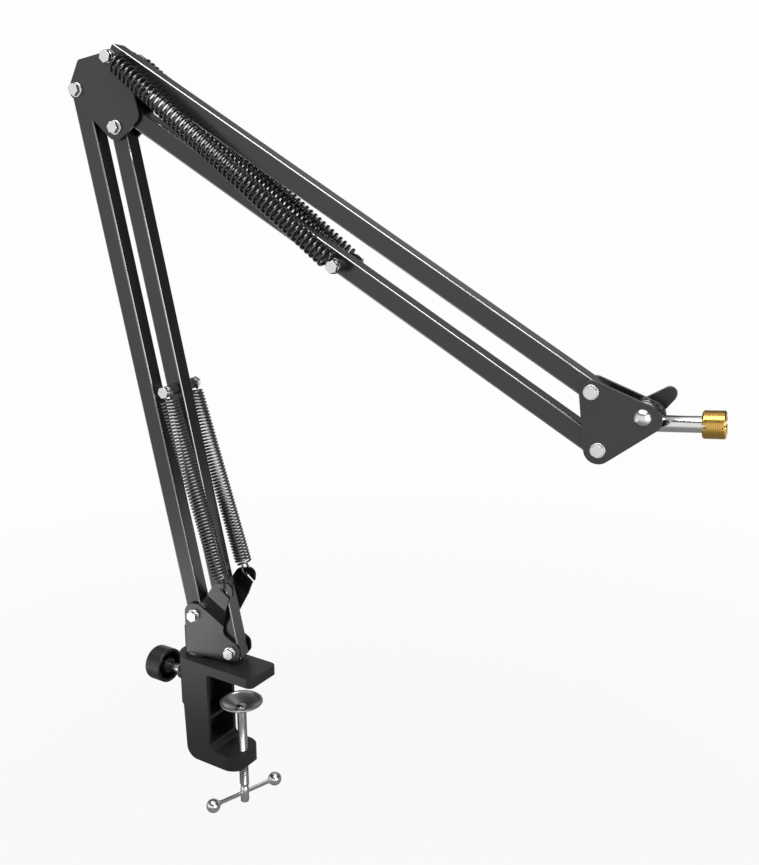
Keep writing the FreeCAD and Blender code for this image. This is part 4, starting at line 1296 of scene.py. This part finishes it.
@dataclass
class Clamp:
    """The clamp's screw, pad and tommy bar, and the swivel's knob, post and washer."""

    shop: Workshop
    screw_radius: float = 3.4
    screw_length: float = 75.0
    thread_depth: float = 0.75
    thread_pitch: float = 1.5
    thread_root: float = 0.02
    tooth: tuple[Pair, ...] = ((0.0, 0.08), (1.0, 0.42), (1.0, 0.60), (0.0, 0.94))
    end_length: float = 12.5
    end_radius: float = 3.25
    end_taper: Pair = (0.5, 0.6)
    end_step: float = 0.3
    neck_radius: float = 2.4
    neck_step: float = 0.2
    peen_radius: float = 3.8
    peen_height: float = 1.4
    peen_dome: tuple[Pair, ...] = ((0.92, 0.55), (0.6, 0.92))
    pad_rim: float = -21.0
    pad_radius: float = 15.2
    pad_lip: float = 1.8
    pad_lip_step: Pair = (0.3, 0.9)
    pad_lip_back: Pair = (0.4, 0.2)
    pad_depth: float = 4.6
    pad_sheet: float = 1.0
    pad_hub: float = 5.0
    pad_play: float = 0.05
    pad_sag: float = 0.42
    pad_sag_back: float = 0.3
    pad_edge: float = 0.2
    pad_fold: float = 25.0
    tommy_radius: float = 1.5
    tommy_half_span: float = 26.0
    ball_radius: float = 5.0
    collar_wall: float = 0.5
    collar_heights: Triple = (5.6, 5.2, 4.2)
    knob_radius: float = 12.6
    knob_length: float = 14.6
    knob_cup: float = 8.0
    knob_wall: float = 2.2
    knob_draft: float = 0.6
    knob_hub: float = 5.5
    knob_hub_drop: float = 0.3
    knob_hub_draft: float = 0.4
    knob_border: float = 5.0
    knob_recess: float = 0.3
    knob_round: float = 3.0
    knob_near: float = 0.1
    knob_clear: float = 0.5
    knob_edge: float = 0.7
    knob_fold: float = 40.0
    post_edge: float = 0.3
    washer_edge: float = 0.2

    def build(self) -> None:
        """Make the clamp's own pieces."""
        place = Matrix.Scale(MM, 4)
        self.shop.install("clamp_screw_made", self._screw(), ["clamp_screw"], Coat.SCREW_ZINC, place)
        self.shop.even(self.shop.install("clamp_pad_made", self._pad(), ["clamp_pad"], Coat.DULL_ZINC, place))
        self._tommy()
        self._knob()
        self.shop.rounded("swivel_post", self.post_edge, Coat.ZINC)
        self.shop.rounded("post_washer", self.washer_edge, Coat.ZINC)

    def _screw(self) -> bmesh.types.BMesh:
        """The spindle with its thread, hexagonal end and peened tip.

        Returns:
            The screw, in the clamp's millimetres.
        """
        shoulder = self.pad_rim - self.pad_depth - self.pad_sheet
        end = shoulder - self.screw_length
        plain = end + self.end_length
        root = self.screw_radius - self.thread_depth
        tip = shoulder + self.pad_sheet
        peen, height, neck = self.peen_radius, self.peen_height, self.neck_radius
        dome = [(peen * out, tip + height * up) for out, up in self.peen_dome]
        bm = lathe([(0.0, plain), (root, plain), (root, shoulder - self.neck_step), (neck, shoulder),
                    (neck, tip), (peen, tip), *dome, (0.0, tip + height)], segments=40)
        pitch = self.thread_pitch
        flank = [(root + self.thread_depth * out, pitch * up) for out, up in self.tooth]
        foot = root - self.thread_root
        thread = lathe([(foot, 0.0), *flank, (foot, pitch)], segments=24,
                       turns=int((shoulder - plain) / pitch) - 1, pitch=pitch)
        merge(bm, thread, Matrix.Translation((0, 0, plain + pitch * 0.5)))
        narrow, rise = self.end_taper
        merge(bm, lathe([(0.0, end), (self.end_radius - narrow, end), (self.end_radius, end + rise),
                         (self.end_radius, plain - self.end_step), (root, plain + self.end_step),
                         (0.0, plain + self.end_step)], segments=6))
        return bm

    def _pad(self) -> bmesh.types.BMesh:
        """The pressed dish with its flat hub, slightly hollow cone and flat lip.

        Returns:
            The pad, in the clamp's millimetres.
        """
        rim, hub, sheet = self.pad_rim, self.pad_hub, self.pad_sheet
        base = rim - self.pad_depth
        hole = self.neck_radius + self.pad_play
        inner = self.pad_radius - self.pad_lip
        middle = (hub + inner) / 2
        sag = base + self.pad_depth * self.pad_sag
        step_in, step_down = self.pad_lip_step
        back_out, back_down = self.pad_lip_back
        bm = lathe([(hole, base), (hub, base), (middle, sag), (inner - step_in, rim - step_down),
                    (inner, rim), (self.pad_radius, rim), (self.pad_radius, rim - sheet),
                    (inner + back_out, rim - sheet - back_down), (middle + self.pad_sag_back, sag - sheet),
                    (hub, base - sheet), (hole, base - sheet), (hole, base)], segments=96)
        soften(bm, self.pad_edge, segments=2, angle=self.pad_fold)
        return bm

    def _tommy(self) -> None:
        """The tommy bar and its two balls, on the frame's slide axis."""
        joint = self.shop.joint("tommy_slide")
        along = Vector(joint["axis"])
        turn = along.to_track_quat("Z", "Y").to_matrix().to_4x4()
        place = Matrix.Translation(joint["pos_m"]) @ turn @ Matrix.Scale(MM, 4)
        half, radius = self.tommy_half_span, self.tommy_radius
        bar = lathe([(0.0, -half), (radius, -half), (radius, half), (0.0, half)], segments=24)
        self.shop.install("tommy_bar_made", bar, ["tommy_bar"], Coat.NICKEL, place)
        balls = bmesh.new()
        collar = radius + self.collar_wall
        for end in (-half, half):
            ball = bmesh.new()
            bmesh.ops.create_uvsphere(ball, u_segments=48, v_segments=28, radius=self.ball_radius)
            sign = math.copysign(1.0, -end)
            heights = (sign * height for height in self.collar_heights)
            merge(ball, lathe(zip((radius, collar, collar), heights), segments=24))
            merge(balls, ball, Matrix.Translation((0, 0, end)))
        self.shop.install("tommy_balls_made", balls, ["tommy_bar_balls"], Coat.NICKEL, place)

    def _knob(self) -> None:
        """The hand knob and the screw that it turns."""
        low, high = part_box("swivel_knob")
        middle = (low + high) / 2
        mouth = Vector((high.x, middle.y, middle.z))
        place = Matrix.Translation(mouth) @ Matrix.Rotation(math.radians(-90), 4, "Y") @ Matrix.Scale(MM, 4)
        rim, hub, floor, end = self.knob_radius, self.knob_hub, self.knob_cup, self.knob_length
        cup = rim - self.knob_wall
        ledge = rim - self.knob_border
        sunk = end - self.knob_recess
        bm = lathe([(0.0, self.knob_hub_drop), (hub, self.knob_hub_drop), (hub + self.knob_hub_draft, floor),
                    (cup - self.knob_draft, floor), (cup, 0.0), (rim, 0.0), (rim, end), (ledge, end),
                    (ledge - self.knob_recess, sunk), (0.0, sunk)], segments=96)
        top, side = end - self.knob_near, rim - self.knob_near
        below = end - self.knob_round - self.knob_clear
        soften(bm, self.knob_round, segments=8, where=lambda co: co.z > top and co.xy.length > side)
        soften(bm, self.knob_edge, angle=self.knob_fold, where=lambda co: co.z < below)
        self.shop.even(self.shop.install("swivel_knob_made", bm, ["swivel_knob"], Coat.PLASTIC, place))
        self.shop.coat("swivel_screw", Coat.ZINC)


@dataclass
class Head:
    """The tilt joint's bolt, washers and wing nut, and the rod with its adapter."""

    shop: Workshop
    plane: ArmPlane
    wing_edge: float = 1.2
    bolt_edge: float = 0.25
    adapter_edge: float = 0.2
    eye_radius: float = 8.25
    eye_half: float = 5.0
    eye_bevel: float = 0.8
    bore: float = 3.05
    rod_start: float = 4.5
    rod_end: float = 42.0
    rod_radius: float = 4.76
    rod_bevel: float = 0.5
    rod_drop: float = 4.6
    rod_rise: float = 4.0

    def build(self) -> None:
        """Round and coat the head's pieces."""
        self.shop.rounded("wing_nut", self.wing_edge, Coat.PLASTIC)
        self._tilt_arm()
        self.shop.rounded("thread_adapter", self.adapter_edge, Coat.BRASS)
        self.shop.rounded("tilt_bolt", self.bolt_edge, Coat.ZINC)
        self.shop.coat("tilt_washers", Coat.NYLON)
        self.shop.coat("wing_nut_insert", Coat.ZINC)

    def _tilt_arm(self) -> None:
        """The flat eye with its turned rim, and the rod below its middle."""
        half, rim, bevel_width = self.eye_half, self.eye_radius, self.eye_bevel
        at = self.plane.pivot("mic_tilt")
        face = rim - bevel_width
        edge = half - bevel_width
        eye = lathe([(self.bore, -half), (face, -half), (rim, -edge), (rim, edge), (face, half),
                     (self.bore, half), (self.bore, -half)], segments=72)
        thick, start, end = self.rod_radius, self.rod_start, self.rod_end
        rod = lathe([(0.0, start), (thick - self.rod_bevel, start), (thick, start + self.rod_bevel),
                     (thick, end), (0.0, end)], segments=48)
        tip = Matrix.Rotation(math.radians(90 - self.rod_rise), 4, "Y")
        arm = bmesh.new()
        merge(arm, eye, self.plane.facing(at, 0.0, True))
        below = Matrix.Translation((self.rod_drop, 0, 0))
        merge(arm, rod, self.plane.matrix @ Matrix.Translation(at) @ tip @ below)
        self.shop.install("tilt_arm_made", arm, ["tilt_arm"], Coat.NICKEL)


@dataclass
class Sleeves:
    """The nylon sleeves beside the spring bolts and the bushes in the bars."""

    shop: Workshop
    edge: float = 0.3

    def build(self) -> None:
        """Round the sleeves that show and coat the bushes."""
        for node in ("lower_spring_sleeves", "elbow_spring_sleeves", "upper_spring_sleeves"):
            self.shop.rounded(node, self.edge, Coat.NYLON)
        for node in ("lower_left_bushes", "lower_right_bushes", "upper_top_bushes", "upper_bottom_bushes"):
            self.shop.coat(node, Coat.NYLON)


@dataclass(frozen=True)
class Softbox:
    """One lamp: its place and what it looks at in metres, its width and height, and its brightness."""

    name: str
    at: Triple
    looks_at: Triple
    width: float
    height: float
    radiance: float

    def build(self) -> None:
        """Put the lamp into the scene."""
        data = bpy.data.lights.new(self.name, "AREA")
        data.shape = "RECTANGLE"
        data.size = self.width
        data.size_y = self.height
        data.energy = self.radiance * math.pi * self.width * self.height
        at = Vector(self.at)
        look(link(self.name, data), at, Vector(self.looks_at) - at)


@dataclass
class Studio:
    """The pale floor, the white backdrop, the soft light and the camera."""

    azimuth: float = 32.52
    elevation: float = 14.37
    target: Triple = (100.35, 24.50, 183.34)
    distance: float = 624.74
    focal_pixels: float = 1000.0
    sensor: float = 36.0
    near_clip: float = 10.0
    background: float = 0.985
    floor_radius: float = 2.6
    floor_gap: float = 31.0
    floor_tone: float = 0.14
    floor_fibre: float = 900.0
    fibre_tones: Pair = (0.99, 1.01)
    floor_roughness: float = 0.9
    floor_gloss: float = 0.1
    floor_white: float = 0.95
    white_reach: Pair = (0.30, 0.90)
    # painted shade under the object in reflections: the white share near it and the reach over which it grows
    # to full
    mirror_white: float = 0.10
    mirror_reach: Pair = (0.30, 0.80)
    backdrop_edge: Pair = (41.0, 32.0)
    room_dim: float = 0.10
    room_front: float = 1.05
    front_span: Pair = (0.50, 0.85)
    front_height: Pair = (0.38, 0.50)
    room_top: float = 0.9
    top_height: Pair = (0.72, 0.85)
    lamps: tuple[Softbox, ...] = (
        Softbox("key_softbox", (0.22, -0.40, 1.30), (0.22, 0.03, 0.19), 1.25, 0.50, 11.5),
        Softbox("side_softbox", (1.12, -0.31, 0.30), (0.0, 0.0, 0.20), 0.60, 0.80, 4.5),
        Softbox("low_card", (-0.25, -0.27, -0.090), (-0.25, -0.24, 0.30), 0.32, 0.28, 1.4),
    )

    def build(self) -> None:
        """Set up the studio."""
        bpy.context.scene.view_settings.view_transform = "Standard"
        self._camera()
        self._floor()
        self._world()
        for lamp in self.lamps:
            lamp.build()

    def _back(self) -> Vector:
        """The direction from the object to the camera.

        Returns:
            A vector of length 1.
        """
        around, above = math.radians(self.azimuth), math.radians(self.elevation)
        level = math.cos(above)
        return Vector((math.sin(around) * level, -math.cos(around) * level, math.sin(above)))

    def _camera(self) -> None:
        """The camera at the photograph's viewing angle."""
        data = bpy.data.cameras.new("camera")
        data.sensor_width = self.sensor
        data.lens = self.focal_pixels * self.sensor / PHOTO_LONG_SIDE
        data.clip_start = self.near_clip * MM
        camera = link("camera", data)
        look(camera, (Vector(self.target) + self._back() * self.distance) * MM, -self._back())
        bpy.context.scene.camera = camera

    def _floor(self) -> None:
        """A round pale floor under the object, below the reach of its opened clamp screw."""
        low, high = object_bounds()
        middle = (low + high) / 2
        middle.z = low.z - self.floor_gap * MM
        bm = bmesh.new()
        bmesh.ops.create_circle(bm, cap_ends=True, radius=self.floor_radius, segments=96)
        bmesh.ops.translate(bm, vec=middle, verts=bm.verts)
        mesh = bpy.data.meshes.new("floor")
        bm.to_mesh(mesh)
        bm.free()
        floor = link("floor", mesh)
        mesh.materials.append(self._floor_material(middle))
        floor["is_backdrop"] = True

    @staticmethod
    def _seen(shader: Shader, straight: Number, mirrored: Number) -> Term:
        """A mask of the rays that show the white background.

        Args:
            shader: the shader to work in.
            straight: how much of the background camera rays show.
            mirrored: how much of it mirrored and transmitted rays show.

        Returns:
            The share for the ray at hand.
        """
        path = shader.node("ShaderNodeLightPath", {}, {})
        camera, glossy, through = (Term(shader, path.outputs[name])
                                   for name in ("Is Camera Ray", "Is Glossy Ray", "Is Transmission Ray"))
        return camera * straight + (glossy + through) * mirrored

    def _floor_material(self, middle: Vector) -> bpy.types.Material:
        """Matt paper that shows as white, with the object's shadow left on it; in reflections it is white
        only away from the object, and nearer it shows its own dark grey, a painted shade under the object.

        Args:
            middle: the floor's middle, in metres.

        Returns:
            The material.
        """
        made = bpy.data.materials.new("pale_floor")
        made.use_nodes = True
        made.cycles.emission_sampling = "NONE"
        shader = Shader(made.node_tree)
        surface = made.node_tree.nodes["Principled BSDF"]
        dark, light = (shade(grey(self.floor_tone), tone) for tone in self.fibre_tones)
        paper = {
            "Base Color": shader.mixed(shader.noise(self.floor_fibre, detail=3.0), dark, light),
            "Roughness": self.floor_roughness,
            "Specular IOR Level": self.floor_gloss,
        }
        for name, value in paper.items():
            shader.feed(surface.inputs[name], value)
        away = shader.between("DISTANCE", shader.place(), middle)
        straight = shader.rise(away, self.white_reach, self.floor_white)
        # painted shade: reflections see less of the white towards the object
        mirrored = shader.rise(away, self.mirror_reach, self.mirror_white)
        white = shader.node("ShaderNodeEmission", {}, {"Strength": self.background})
        mix = shader.node("ShaderNodeMixShader", {}, {0: self._seen(shader, straight, mirrored)})
        made.node_tree.links.new(surface.outputs[0], mix.inputs[1])
        made.node_tree.links.new(white.outputs[0], mix.inputs[2])
        output = made.node_tree.nodes["Material Output"]
        made.node_tree.links.new(mix.outputs[0], output.inputs["Surface"])
        return made

    def _world(self) -> None:
        """A white backdrop behind the object in a dim room that is lighter in front and overhead."""
        world = bpy.data.worlds.new("studio")
        bpy.context.scene.world = world
        world.use_nodes = True
        shader = Shader(world.node_tree)
        where = shader.term("ShaderNodeTexCoord", {}, {}, "Generated")
        split = shader.node("ShaderNodeSeparateXYZ", {}, {0: where})
        front = Term(shader, split.outputs["Y"]) * -0.5 + 0.5
        height = Term(shader, split.outputs["Z"])
        ahead = shader.rise(front, self.front_span) * (1.0 - shader.rise(height, self.front_height))
        room = shader.mixed(ahead, grey(self.room_dim), grey(self.room_front))
        room = shader.mixed(shader.rise(height, self.top_height), room, grey(self.room_top))
        aim = shader.between("DOT_PRODUCT", where, -self._back())
        edge, full = (math.cos(math.radians(turn)) for turn in self.backdrop_edge)
        seen = self._seen(shader, 1.0, shader.rise(aim, (edge, full)))
        colour = shader.mixed(seen, room, grey(self.background))
        shader.feed(world.node_tree.nodes["Background"].inputs["Color"], colour)


def main() -> None:
    """Load the frame, dress it and set up the studio."""
    logging.basicConfig(level=logging.INFO, format="%(message)s")
    shop = Workshop(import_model())
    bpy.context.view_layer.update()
    plane = ArmPlane(shop)
    for part in (SheetMetal(shop, plane), SpringPair(shop, plane), Fasteners(shop, plane), Sleeves(shop),
                 Clamp(shop), Head(shop, plane), Studio()):
        part.build()


if __name__ == "__main__":
    main()
